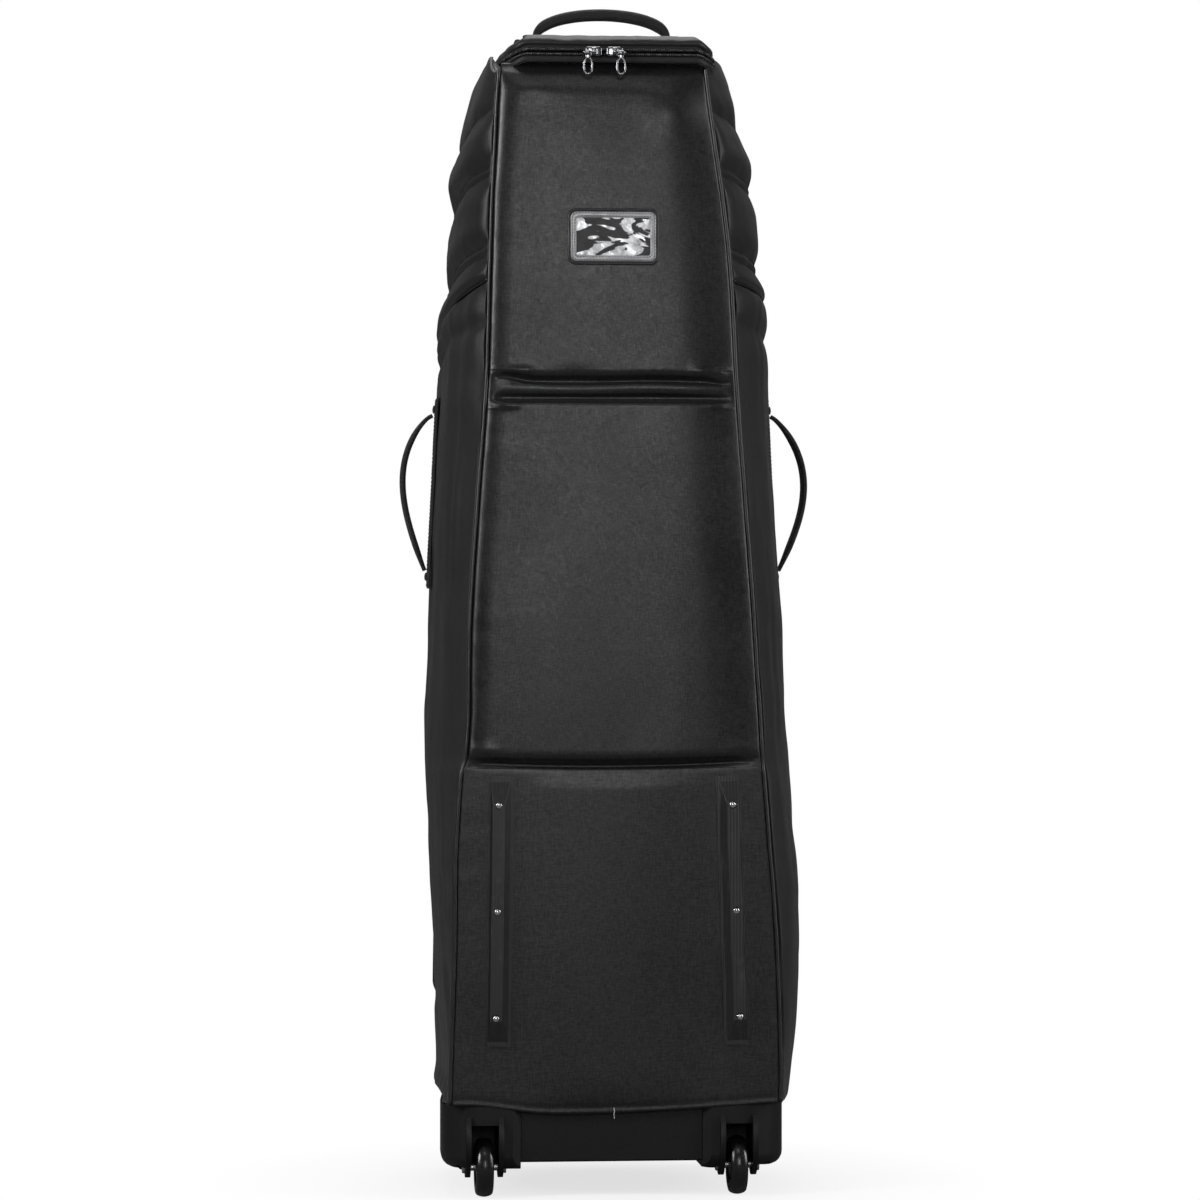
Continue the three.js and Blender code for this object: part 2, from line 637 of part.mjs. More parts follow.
// ---------------------------------------------------------------- top band, coils, padded top
// Right half of the top's plan, [x, y] from back centre to front centre
const TOP_CORNER = { x: 92, y: -112, radius: 35 };
const TOP_HALF = [
  [0, -147], [46, -147], [92, -147],
  ...[-70, -50, -30, -10].map(degToRad).map((angle) => [
    TOP_CORNER.x + TOP_CORNER.radius * Math.cos(angle),
    TOP_CORNER.y + TOP_CORNER.radius * Math.sin(angle),
  ]),
  [130, -85], [133, -50], [134, -15], [132.5, 25], [128, 62], [122, 84], [111, 99],
  [92, 106], [46, 108.5], [0, 109],
];

// The half outline moved in by inset.
function topOutline(inset) {
  const last = TOP_HALF.length - 1;
  return TOP_HALF.map(([x, y], i) => {
    const before = TOP_HALF[Math.max(0, i - 1)];
    const after = TOP_HALF[Math.min(last, i + 1)];
    let tangent = [after[0] - before[0], after[1] - before[1]];
    if (i === 0) tangent = [1, 0];
    if (i === last) tangent = [-1, 0];
    const length = Math.hypot(...tangent);
    return [x - (inset * tangent[1]) / length, y + (inset * tangent[0]) / length];
  });
}
const mirrored = (points) => points.map(([x, ...rest]) => [-x, ...rest]);
// Open path from the left front round the back to the right front
const roundBack = (half) => [...mirrored(half.slice(1).reverse()), ...half];

function topBand() {
  const outer = roundBack(topOutline(0).slice(0, 12));
  const inner = roundBack(topOutline(5).slice(0, 12));
  const columns = outer.length - 1;
  const surface = (path) => (across, up) => [
    ...path[Math.round(across * columns)], lerp(BAND_BOTTOM_Z, BAND_TOP_Z, up),
  ];
  return sheet(columns, 1, surface(outer), surface(inner));
}

const COIL_LEG_Z = [1205, 1160, 1110, 1040, 960, 860, 700, 540, 380, 219];
// Coil round the top, over the front corners and down the front edges.
function zipCoil({ topZ, corner, shiftX, shiftY }) {
  const top = topOutline(1).slice(0, 13).map(([x, y]) => [x, y, topZ]);
  const leg = COIL_LEG_Z.map((z) => [
    backHalfWidth(z) + 1 + shiftX, frontY(z) - 9 + shiftY, z,
  ]);
  return tube(roundBack([...top, ...corner, ...leg]), 1.9, 5);
}

// Rings of the padded top: [inset, z, scale about the middle]
const TOP_PAD_MID_Y = -19;
const TOP_PAD_RINGS = [
  [9, CAP_BOTTOM_Z, 1], [6.5, CAP_BOTTOM_Z + 1, 1], [11, CAP_BOTTOM_Z + 7, 1],
  [18, CAP_BOTTOM_Z + 11.5, 1], [18, CAP_BOTTOM_Z + 15, 0.86],
  [18, CAP_TOP_Z - 1.5, 0.68], [18, CAP_TOP_Z, 0.42],
];
function topPad() {
  return loft(TOP_PAD_RINGS.map(([inset, z, scale]) => {
    const half = topOutline(inset);
    const outline = [...half, ...mirrored(half.slice(1, -1).reverse())];
    return outline.map(([x, y]) => [
      x * scale, TOP_PAD_MID_Y + (y - TOP_PAD_MID_Y) * scale, z,
    ]);
  }));
}

function addTop() {
  add('top_band', topBand(), materials.side);
  add('zip_coil_body', zipCoil({
    topZ: 1238.6, corner: [[119.6, 96, 1236], [118.2, 102.6, 1226]], shiftX: 3.4, shiftY: -3.2,
  }), materials.coil);
  add('zip_coil_flap', zipCoil({
    topZ: 1243.9, corner: [[114.5, 102, 1240], [111.8, 108, 1228]], shiftX: -2.2, shiftY: 3.4,
  }), materials.coil, flapGroup);
  add('top_pad', topPad(), materials.quilt, flapGroup);
}

// ---------------------------------------------------------------- front flap and pocket
const POCKET = { bottom: 300, top: 830, halfWidth: 104, frontY: 161.4 };

function frontPanel() {
  const halfWidth = (z) => backHalfWidth(z) - 11 - Math.max(0, z - 1200) * 0.12;
  return frontSheet(6, 12, [HINGE_Z + HINGE_GAP, CAP_BOTTOM_Z - 0.6], halfWidth);
}

function frontPocket() {
  const surface = (yAt) => (across, up) => {
    const z = lerp(POCKET.bottom, POCKET.top, up);
    const halfWidth = Math.min(POCKET.halfWidth, backHalfWidth(z) - 26);
    return [lerp(-halfWidth, halfWidth, across), yAt(z, across, up), z];
  };
  const bulgeY = (z, across, up) => {
    const sideFall = Math.pow(Math.abs(2 * across - 1), 3);
    const endFall = Math.pow(Math.abs(2 * up - 1), 6);
    return lerp(POCKET.frontY, frontY(z) + 5, Math.max(sideFall, endFall));
  };
  return sheet(6, 8, surface(bulgeY), surface((z) => frontY(z) + 0.5));
}

function addFlap() {
  add('front_panel', frontPanel(), materials.side, flapGroup);
  add('front_pocket', frontPocket(), materials.side, flapGroup);
}

// ---------------------------------------------------------------- zip sliders and pulls
const ZIP_X = -9;                       // the sliders meet a little left of the centre line
const PULL_BAR = { y: -153.9, z: 1240 }; // bar the pull hangs on

function zipSlider(side) {
  const x = ZIP_X + side * 12;
  const barX = ZIP_X + side * 18;
  const { y, z } = PULL_BAR;
  const post = (from, to) => block([barX + from, barX + to], [y - 1.1, -150.5], around(z, 1.4));
  return block(around(x, 9), [-151, -148.4], [BAND_TOP_Z, 1246.2])
    .add(block(around(x, 5), [-149, -141.8], [1240.9, 1241.7])) // keel
    .add(block(around(x, 7), [-143.4, -142], [1237.2, 1241.7])) // wing
    .add(post(-5, -3.8)).add(post(3.8, 5))
    .add(rodX(0.95, around(barX, 4.6), y, z, 10));
}

// Eye round the bar, then a long flat ring.
function zipPull(side) {
  const x = ZIP_X + side * 18;
  const { y, z } = PULL_BAR;
  const flat = (shape, depth) => solidOf(plate(shape, depth, x, y + depth / 2, z - 15.5));
  return rodX(2.4, around(x, 3.2), y, z, 12)
    .add(block(around(x, 3.2), around(y, 1.1), [z - 6, z - 1]))
    .add(flat(roundedRect(5.6, 10.5, 5.4, 4), 2.2))
    .subtract(flat(roundedRect(3, 7.6, 2.9, 4), 8))
    .subtract(rodX(1.35, around(x, 6), y, z, 12));
}

function addZip(side) {
  add('zip_slider_' + sideName(side), zipSlider(side), materials.zipMetal);
  add('zip_pull_' + sideName(side), zipPull(side), materials.zipMetal);
}

// ---------------------------------------------------------------- top handle
const TOP_HANDLE = { halfSpan: 76, y: -15, endZ: 1272, topZ: 1304, maxHalfT: 6.2 };

function topHandle() {
  const { halfSpan, y, endZ, topZ, maxHalfT } = TOP_HANDLE;
  const steps = 18;
  const points = Array.from({ length: steps + 1 }, (_, i) => {
    const angle = Math.PI * (i / steps);
    const rise = (topZ - maxHalfT - endZ) * Math.pow(Math.sin(angle), 0.85);
    return [-halfSpan * Math.cos(angle), y, endZ + rise];
  });
  return strap(points,
    (point) => Math.min(14, 4 + 0.36 * (point.z - endZ)),
    (point) => Math.min(maxHalfT, 2.4 + 0.2 * (point.z - endZ)));
}

// Tab on the padded top with a raised lug beyond the end of the handle.
function topHandleTab(side) {
  const { y } = TOP_HANDLE;
  return block(around(side * 88, 8), around(y, 11), [CAP_TOP_Z + 0.6, CAP_TOP_Z + 2.4])
    .add(block(around(side * 83, 3.5), around(y, 5), [CAP_TOP_Z + 2, CAP_TOP_Z + 9.5]));
}

function addTopHandle() {
  add('top_handle', topHandle(), materials.webbing, flapGroup);
  for (const side of SIDES) {
    add('top_handle_tab_' + sideName(side), topHandleTab(side), materials.webbing, flapGroup);
  }
}

// ---------------------------------------------------------------- side handles
const SIDE_HANDLE = { bottom: 680, top: 852, y: -5, standOff: 10, bow: 25 };

function sideHandle(side) {
  const { bottom, top, y, standOff, bow } = SIDE_HANDLE;
  const steps = 16;
  const points = Array.from({ length: steps + 1 }, (_, i) => {
    const share = i / steps;
    const base = lerp(midHalfWidth(top), midHalfWidth(bottom), share) + standOff;
    const out = bow * Math.pow(Math.sin(Math.PI * Math.pow(share, 0.86)), 0.9);
    return [side * (base + out), y, lerp(top, bottom, share)];
  });
  return strap(points,
    (point, share) => 5 + 7.5 * smoothstep(Math.sin(Math.PI * share) * 1.6, 0, 1),
    () => 2.5);
}

// Right patch: long strip on the side, with a lug beyond each end of the handle.
function sideHandlePatch() {
  const { bottom, top, y } = SIDE_HANDLE;
  const patchX = (z) => midHalfWidth(z) + 0.6;
  const surface = (out) => (across, up) => {
    const z = lerp(bottom - 22, top + 22, up);
    return [patchX(z) + out, lerp(y - 13, y + 13, across), z];
  };
  let patch = solidOf(sheet(1, 6, surface(2.2), surface(0)));
  for (const [end, direction] of [[top, 1], [bottom, -1]]) {
    const near = end + 3 * direction;
    const far = end + 10.5 * direction;
    const x = patchX(near);
    const range = [Math.min(near, far), Math.max(near, far)];
    patch = patch.add(block([x + 1.2, x + 12.5], around(y, 5), range));
  }
  return geometryOf(patch);
}

function addSideHandles() {
  const patch = sideHandlePatch();
  for (const side of SIDES) {
    const name = sideName(side);
    add('side_handle_' + name, sideHandle(side), materials.webbing);
    add('side_handle_patch_' + name, side < 0 ? mirrorX(patch) : patch, materials.webbing);
  }
}

// ---------------------------------------------------------------- luggage tag pocket
const TAG = {
  width: 98.8, height: 61.2, thickness: 1.6, y: -158.5, z: 1040,
  windowWidth: 78, windowHeight: 36,
};

function addTag() {
  const windowShape = (inset) => roundedRect(
    TAG.windowWidth / 2 - inset, TAG.windowHeight / 2 - inset, 2, 2);
  const outline = roundedRect(TAG.width / 2, TAG.height / 2, 10, 4);
  const frame = solidOf(plate(outline, TAG.thickness, 0, TAG.y, TAG.z))
    .subtract(solidOf(plate(windowShape(0), 10, 0, TAG.y + 4, TAG.z)));
  add('tag_frame', frame, materials.vinyl);
  add('tag_window', plate(windowShape(0.4), 0.8, 0, TAG.y - 0.1, TAG.z), materials.window);
}

// ---------------------------------------------------------------- inside straps and buckles
function addInsideStrap(name, z) {
  const y = backY(z) + BOARD_INNER + 2.2;
  const right = backHalfWidth(z) - 17;
  const left = -right;
  // block given relative to the strap's left end
  const part = (rangeX, rangeY, rangeZ) => block(
    rangeX.map((value) => left + value),
    rangeY.map((value) => y + value),
    rangeZ.map((value) => z + value));
  const socket = part([0, 40], [0, 11], [-24, 24])
    .subtract(part([16, 50], [2.6, 8.4], [-20, 20]));
  const plug = part([40.6, 70], [2.6, 11], [-24, 24])
    .subtract(part([58, 64], [-9, 30], [-20, 20]))
    .add(part([18, 41], [3.4, 7.6], [-4, 4])) // middle prong, then the outer two
    .add(part([20, 41], [3.4, 7.6], [12, 19]))
    .add(part([20, 41], [3.4, 7.6], [-19, -12]));
  const web = box([left + 58.5, right], [y, y + 2], around(z, 19));
  add('strap_web_' + name, web, materials.webbing);
  add('buckle_socket_' + name, socket, materials.buckle);
  add('buckle_plug_' + name, plug, materials.buckle);
}

// ---------------------------------------------------------------- assembly
addBase();
SIDES.forEach(addWheel);
addBack();
addRails();
[1, -1].forEach(addSide);
addFrontLowerPanel();
addTop();
addFlap();
SIDES.forEach(addZip);
addTopHandle();
addSideHandles();
addTag();
addInsideStrap('upper', 700);
addInsideStrap('lower', 330);

export default root;
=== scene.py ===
"""A soft wheeled suitcase standing upright on a floor at z = 0.

Frame: metres, +Z up. The padded back, with its rails and wheels, faces -Y; the front, which
opens as a flap, faces +Y; right is +X. Shapes are worked out in millimetres and turned into
metres when a mesh is built. side is 1 for the right and -1 for the left.
"""
import math
import bmesh
import bpy
import numpy as np
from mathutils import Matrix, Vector

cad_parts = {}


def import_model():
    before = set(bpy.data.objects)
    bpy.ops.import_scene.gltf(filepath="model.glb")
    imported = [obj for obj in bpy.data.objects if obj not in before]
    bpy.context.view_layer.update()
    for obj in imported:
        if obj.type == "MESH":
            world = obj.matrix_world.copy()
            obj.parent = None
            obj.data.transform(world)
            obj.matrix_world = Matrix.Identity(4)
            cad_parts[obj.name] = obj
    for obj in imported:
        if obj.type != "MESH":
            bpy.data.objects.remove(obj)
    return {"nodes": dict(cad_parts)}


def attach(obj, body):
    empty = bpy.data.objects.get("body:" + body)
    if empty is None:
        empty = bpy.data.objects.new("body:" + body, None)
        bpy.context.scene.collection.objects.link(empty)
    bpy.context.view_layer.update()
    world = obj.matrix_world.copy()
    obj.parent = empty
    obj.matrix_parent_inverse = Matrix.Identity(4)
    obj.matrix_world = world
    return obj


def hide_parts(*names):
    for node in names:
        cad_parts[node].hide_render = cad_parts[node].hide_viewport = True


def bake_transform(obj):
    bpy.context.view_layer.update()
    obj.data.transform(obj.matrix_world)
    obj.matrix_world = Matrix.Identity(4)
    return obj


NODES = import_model()["nodes"]
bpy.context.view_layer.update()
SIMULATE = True      # nothing in this scene needs simulating
SCENE = bpy.context.scene
SIDES = ((1, "right"), (-1, "left"))
TURN = 2 * math.pi


# ---------------------------------------------------------------- curves and noise
def curve(stations):
    """Monotone cubic through (position, value) stations, straight beyond both ends."""
    pos, value = np.array(stations, float).T
    count = len(pos)
    gap = np.diff(pos)
    slope = np.diff(value) / gap
    tangent = np.zeros(count)
    tangent[0], tangent[-1] = slope[0], slope[-1]
    for i in range(1, count - 1):
        if slope[i - 1] * slope[i] > 0:
            before = 2 * gap[i] + gap[i - 1]
            after = gap[i] + 2 * gap[i - 1]
            tangent[i] = (before + after) / (before / slope[i - 1] + after / slope[i])

    def at(where):
        where = np.asarray(where, float)
        i = np.clip(np.searchsorted(pos, where, side="right") - 1, 0, count - 2)
        t = (where - pos[i]) / gap[i]
        t2, t3 = t * t, t * t * t
        result = ((2 * t3 - 3 * t2 + 1) * value[i] + (t3 - 2 * t2 + t) * gap[i] * tangent[i]
                  + (3 * t2 - 2 * t3) * value[i + 1] + (t3 - t2) * gap[i] * tangent[i + 1])
        result = np.where(where <= pos[0], value[0] + tangent[0] * (where - pos[0]), result)
        return np.where(where >= pos[-1], value[-1] + tangent[-1] * (where - pos[-1]), result)
    return at


def smooth(t):
    t = np.clip(t, 0, 1)
    return t * t * (3 - 2 * t)


def edge(inside, radius):
    """Quarter-round rise from 0 at an edge to 1 at the radius."""
    return np.sqrt(1 - (1 - np.clip(inside / radius, 0, 1)) ** 2)


def puff(inside, radius):
    """Parabolic rise, softer than edge."""
    return 1 - (1 - np.clip(inside / radius, 0, 1)) ** 2


def bell(distance, width):
    return np.exp(-(distance / width) ** 2)


def noise(x, y, seed):
    """Smooth noise between -1 and 1 over a repeating 128 x 128 lattice."""
    lattice = np.random.RandomState(seed).rand(128, 128) * 2 - 1
    col, row = np.floor(x).astype(int), np.floor(y).astype(int)
    part_x, part_y = smooth(x - col), smooth(y - row)

    def corner(i, j):
        return lattice[(col + i) % 128, (row + j) % 128]
    return ((corner(0, 0) * (1 - part_x) + corner(1, 0) * part_x) * (1 - part_y)
            + (corner(0, 1) * (1 - part_x) + corner(1, 1) * part_x) * part_y)


def layered(x, y, seed, octaves=3):
    return sum(noise(x * 2 ** k + 7.3 * k, y * 2 ** k + 3.1 * k, seed + k) / 2 ** k
               for k in range(octaves))


# ---------------------------------------------------------------- outline of the case (mm)
# (height, half width at the back edge)
half_width = curve([
    (100, 176.5), (252, 171.5), (336, 168.6), (440, 162.5), (543, 156.3), (660, 151),
    (764, 144), (888, 135.6), (988, 131.8), (1078, 126.1), (1135, 120.4), (1240, 111)])
# (height, half width midway between back and front)
half_belly = curve([
    (100, 193), (143, 197), (188, 200.4), (233, 203.2), (322, 204.9), (411, 203.2), (501, 201),
    (590, 197.4), (680, 194), (769, 189.3), (880, 184), (947, 180.5), (1015, 174), (1060, 171),
    (1104, 167), (1148, 161), (1193, 150.5), (1215, 143.5), (1240, 131)])
# (height, y) of the back and of the front
rear_y = curve([(100, -150), (1120, -150), (1180, -147), (1240, -139.5)])
front_y = curve([(100, 141), (260, 143), (700, 143), (980, 140), (1120, 131), (1200, 119),
                 (1250, 106)])
# (height, how far the edge of the back stands out from half_width)
EDGE_OUT = {
    -1: curve([(100, 0), (260, 0), (310, 1), (370, 3), (430, 3.5), (458, 3), (478, -1.5),
               (520, -1.8), (565, 0.3), (620, 1.4), (810, 1.2), (900, 0.6), (1000, 0),
               (1240, 0)]),
    1: curve([(100, 7), (130, 8.5), (200, 9.6), (260, 9), (310, 7.6), (370, 5.6), (430, 4.6),
              (458, 4.2), (476, 3.4), (520, 3.8), (593, 2.6), (700, 0.8), (810, 0.4), (900, 0),
              (1240, 0)])}
# (height, shift in x): the upper part leans to the left
lean = curve([(100, 0), (880, 0), (980, -1.6), (1037, -3), (1094, -5.6), (1151, -8),
              (1190, -9.6), (1240, -10.4)])
# (height, how far the side is pushed out at mid depth)
TRIM = {
    -1: curve([(100, -12.5), (128, -22), (187, -22.5), (205, -22), (276, -19.5), (312, -18),
               (366, -16), (402, -15), (437, -12.7), (455, -10.5), (491, -8), (527, -5.8),
               (562, -4.2), (634, -3.8), (860, -3.5), (900, -5), (935, -2.5), (975, -4),
               (1000, -7), (1035, -6), (1060, -6.5), (1095, -5), (1112, -2), (1130, -3),
               (1160, -5), (1200, -4), (1228, -3)]),
    1: curve([(100, 8), (133, 11.5), (151, 13), (169, 14.5), (187, 16), (223, 17), (258, 17),
              (294, 15.6), (330, 14.3), (366, 12), (384, 9.6), (402, 7.5), (419, 6.2),
              (437, 4.9), (455, 3.6), (491, 3), (540, 2), (600, 1), (860, 1), (930, 2),
              (980, 3), (1005, -1), (1060, -3), (1130, -2), (1150, -6), (1200, -7.5),
              (1228, -4)])}
BODY_FOOT = 101.3          # lowest edge of the side and lower front fabric
LOW_CREASE = 470.0         # mean height of the lower crease across the back
SIDE_DEPTH = 275.0         # a side laid flat, back to front
PAD_TOP = 1228.0
SEAM_DROP = {-1: 88, 1: 40}            # fall of the side seam from back to front
CHANNEL_SLOPE = {-1: 60.0, 1: 40.0}    # fall of the quilting channels


def stand_out(z, side):
    return EDGE_OUT[side](z) + side * lean(z)


def dip(x):
    """Drop of the top towards its shoulders."""
    return -8.5 * smooth((np.abs(x) - 92) / 26)


def seam_z(depth, side):
    return 994 - SEAM_DROP[side] * np.clip(depth, 0, 1)


def flap_half(z):
    """Half width of the front flap panel."""
    return half_width(z) - 11 - np.clip(z - 1200, 0, None) * 0.12


def corner_inset(z):
    """How far the left lower front corner is drawn in."""
    return 4.5 * smooth((211 - z) / 15) + 6.0 * np.clip((200 - z) / 100, 0, 1)


# ---------------------------------------------------------------- mesh helpers
def points(*coords):
    return np.stack(np.broadcast_arrays(*coords), -1)


def metres(u, v):
    """UV coordinates in metres from lengths in millimetres."""
    return points(u, v) * 0.001


def grid(rows, cols):
    return np.meshgrid(rows, cols, indexing="ij")


def unit(vectors):
    return vectors / np.linalg.norm(vectors, axis=1)[:, None]


def run_length(path):
    """Length along the path up to each point."""
    return np.concatenate([[0], np.cumsum(np.linalg.norm(np.diff(path, axis=0), axis=1))])


def stations(low, high, step, dense=()):
    """Heights at a step, finer within each dense (centre, reach, step)."""
    heights = [low]
    while heights[-1] < high:
        here = step
        for centre, reach, fine in dense:
            if abs(heights[-1] - centre) < reach:
                here = min(here, fine)
        heights.append(heights[-1] + here)
    heights[-1] = high
    return np.array(heights)


def bunched(count, power):
    """Shares from -1 to 1, closer together towards the ends."""
    share = np.linspace(-1, 1, count)
    return np.sign(share) * (1 - (1 - np.abs(share)) ** power)


def resample(path, step):
    path = np.asarray(path, float)
    length = run_length(path)
    count = max(2, int(round(length[-1] / step)) + 1)
    where = np.linspace(0, length[-1], count)
    return np.stack([np.interp(where, length, path[:, k]) for k in range(3)], 1)


def spline(path, step=3.0):
    """Smooth curve through the points."""
    path = np.asarray(path, float)
    length = run_length(path)
    where = np.arange(0, length[-1] + step / 2, step)
    where = np.append(where[where < length[-1] - step * 0.3], length[-1])
    return np.stack([curve(np.column_stack([length, path[:, k]]))(where) for k in range(3)], 1)


def circle(radius, count):
    angle = np.arange(count) / count * 2 * math.pi
    return np.stack([radius * np.cos(angle), radius * np.sin(angle)], 1)


def rounded_rect(half_a, half_b, radius, steps=4):
    a, b = half_a - radius, half_b - radius
    outline = []
    for centre_a, centre_b, start in ((a, b, 0), (-a, b, 90), (-a, -b, 180), (a, -b, 270)):
        for k in range(steps + 1):
            angle = math.radians(start + 90 * k / steps)
            outline.append([centre_a + radius * math.cos(angle),
                            centre_b + radius * math.sin(angle)])
    return np.array(outline)


def outward(verts, polys):
    """The polygons, turned over if they face inwards."""
    volume = 0.0
    for poly in polys:
        for k in range(1, poly.shape[1] - 1):
            normal = np.cross(verts[poly[:, k]], verts[poly[:, k + 1]])
            volume += np.einsum("ij,ij->i", verts[poly[:, 0]], normal).sum()
    return [poly[:, ::-1] for poly in polys] if volume < 0 else polys


def build(name, verts, polys, mats, uv=None, face_mats=None):
    """Object from vertices in mm, index arrays (faces, corners) and UVs per vertex."""
    mesh = bpy.data.meshes.new(name)
    verts = np.asarray(verts, float)
    mesh.vertices.add(len(verts))
    mesh.vertices.foreach_set("co", (verts * 0.001).astype(np.float32).ravel())
    polys = [np.asarray(p, np.int32) for p in polys if len(p)]
    index = np.concatenate([p.ravel() for p in polys])
    sizes = np.concatenate([np.full(len(p), p.shape[1]) for p in polys])
    starts = np.concatenate([[0], np.cumsum(sizes)[:-1]]).astype(np.int32)
    mesh.loops.add(len(index))
    mesh.loops.foreach_set("vertex_index", index)
    mesh.polygons.add(len(sizes))
    mesh.polygons.foreach_set("loop_start", starts)
    if face_mats is not None:
        mesh.polygons.foreach_set("material_index", np.asarray(face_mats, np.int32))
    mesh.update(calc_edges=True)
    mesh.validate()
    if uv is not None:
        layer = mesh.uv_layers.new(name="UVMap")
        layer.data.foreach_set("uv", np.asarray(uv, np.float32)[index].ravel())
    mesh.shade_smooth()
    for mat in mats:
        mesh.materials.append(mat)
    obj = bpy.data.objects.new(name, mesh)
    SCENE.collection.objects.link(obj)
    return obj


def place(obj, body, slot, *replaced):
    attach(obj, body)
    if replaced:
        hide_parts(*replaced)
    return obj


def sheet(name, outer, inner, mats, uv=None):
    """Closed sheet between two grids; a second material goes on the inner face."""
    rows, cols = outer.shape[:2]
    count = rows * cols
    i = np.arange(count).reshape(rows, cols)
    quads = np.stack([i[:-1, :-1], i[:-1, 1:], i[1:, 1:], i[1:, :-1]], -1).reshape(-1, 4)
    rim = np.concatenate([i[0, :-1], i[:-1, -1], i[-1, :0:-1], i[:0:-1, 0]])
    after = np.roll(rim, -1)
    faces = np.concatenate([quads, quads[:, ::-1] + count,
                            np.stack([after, rim, rim + count, after + count], 1)])
    verts = np.concatenate([outer.reshape(-1, 3), inner.reshape(-1, 3)])
    face_mats = np.zeros(len(faces), int)
    if len(mats) > 1:
        face_mats[len(quads):2 * len(quads)] = 1
    if uv is not None:
        uv = np.concatenate([uv.reshape(-1, 2)] * 2)
    return build(name, verts, outward(verts, [faces]), mats, uv, face_mats)


def skin(name, outer, inner, mats, uv, body, slot, *replaced):
    place(sheet(name, outer, inner, mats, uv), body, slot, *replaced)


def loft(start, end, bow, rows=9):
    """Grid from one line of points to another, bowed between them."""
    share = np.linspace(0, 1, rows)[:, None, None]
    return start + (end - start) * share + bow * np.sin(np.pi * share)


def tube_faces(rows, cols, closed=False):
    """Quads round a tube of rows; an open tube is fanned to two end points added last."""
    index = np.arange(rows * cols).reshape(rows, cols)
    if closed:
        index = np.concatenate([index, index[:1]])
    after = np.roll(index, -1, 1)
    quads = np.stack([index[:-1], after[:-1], after[1:], index[1:]], -1).reshape(-1, 4)
    if closed:
        return [quads]
    first, last = (np.full(cols, rows * cols + k) for k in (0, 1))
    return [quads, np.concatenate([np.stack([after[0], index[0], first], 1),
                                   np.stack([index[-1], after[-1], last], 1)])]


def sweep(path, section, ref=(0.3, 0.2, 1), closed=False, fixed=False, size=None):
    """Section (along ref, across) carried down a path. Returns vertices, polygons, UVs.

    fixed holds ref for the whole path; otherwise it is carried from point to point.
    """
    path = np.asarray(path, float)
    if closed:
        tangent = unit(np.roll(path, -1, 0) - np.roll(path, 1, 0))
    else:
        tangent = unit(np.gradient(path, axis=0))
    ref = np.array(ref, float)
    if fixed:
        up = unit(ref[None] - tangent * (tangent @ ref)[:, None])
    else:
        up = np.zeros_like(path)
        for k, along in enumerate(tangent):
            ref = ref - along * ref.dot(along)
            ref /= np.linalg.norm(ref)
            up[k] = ref
    across = np.cross(tangent, up)
    rows, cols = len(path), len(section)
    size = np.ones((rows, 2)) if size is None else size
    verts = (path[:, None] + up[:, None] * (section[None, :, 0] * size[:, :1])[..., None]
             + across[:, None] * (section[None, :, 1] * size[:, 1:])[..., None]).reshape(-1, 3)
    length = run_length(path)
    uv = metres(np.tile(run_length(section), rows), np.repeat(length, cols))
    if not closed:
        verts = np.concatenate([verts, path[:1], path[-1:]])
        uv = np.concatenate([uv, [[0, 0]], [[0, length[-1] * 0.001]]])
    return verts, outward(verts, tube_faces(rows, cols, closed)), uv


def strand(name, path, section, mat, body, slot, *replaced, uv_scale=(1, 1), **how):
    verts, polys, uv = sweep(path, section, **how)
    place(build(name, verts, polys, [mat], uv * uv_scale), body, slot, *replaced)


def join(parts):
    verts, polys, uvs, offset = [], [], [], 0
    for part_verts, part_polys, part_uv in parts:
        verts.append(part_verts)
        uvs.append(part_uv)
        polys += [poly + offset for poly in part_polys]
        offset += len(part_verts)
    return np.concatenate(verts), polys, np.concatenate(uvs)


# One stitch of unit length, half width and height: a tip, two rings of five, a tip.
STITCH_SHAPE = np.array(
    [(-0.5, 0, -0.3)]
    + [(a, b, c) for a in (-0.34, 0.34)
       for b, c in ((-1, 0), (-0.6, 0.85), (0.6, 0.85), (1, 0), (0, -0.8))]
    + [(0.5, 0, -0.3)])
STITCH_TRIS = np.array([(0, 1 + (k + 1) % 5, 1 + k) for k in range(5)]
                       + [(11, 6 + k, 6 + (k + 1) % 5) for k in range(5)])
STITCH_QUADS = np.array([(1 + k, 1 + (k + 1) % 5, 6 + (k + 1) % 5, 6 + k) for k in range(5)])
# Stitch gauges: pitch, length, width, height
QUILT_GAUGE = (4.6, 3.2, 0.8, 0.5)
ZIP_GAUGE = (4.4, 3.1, 0.8, 0.5)
POCKET_GAUGE = (4.4, 3.2, 0.8, 0.5)
PATCH_GAUGE = (4.4, 3.0, 0.7, 0.5)
BOX_GAUGE = (4.2, 3.0, 0.7, 0.5)
TAB_GAUGE = (3.6, 2.6, 0.7, 0.5)
TAG_GAUGE = (3.4, 2.4, 0.6, 0.35)


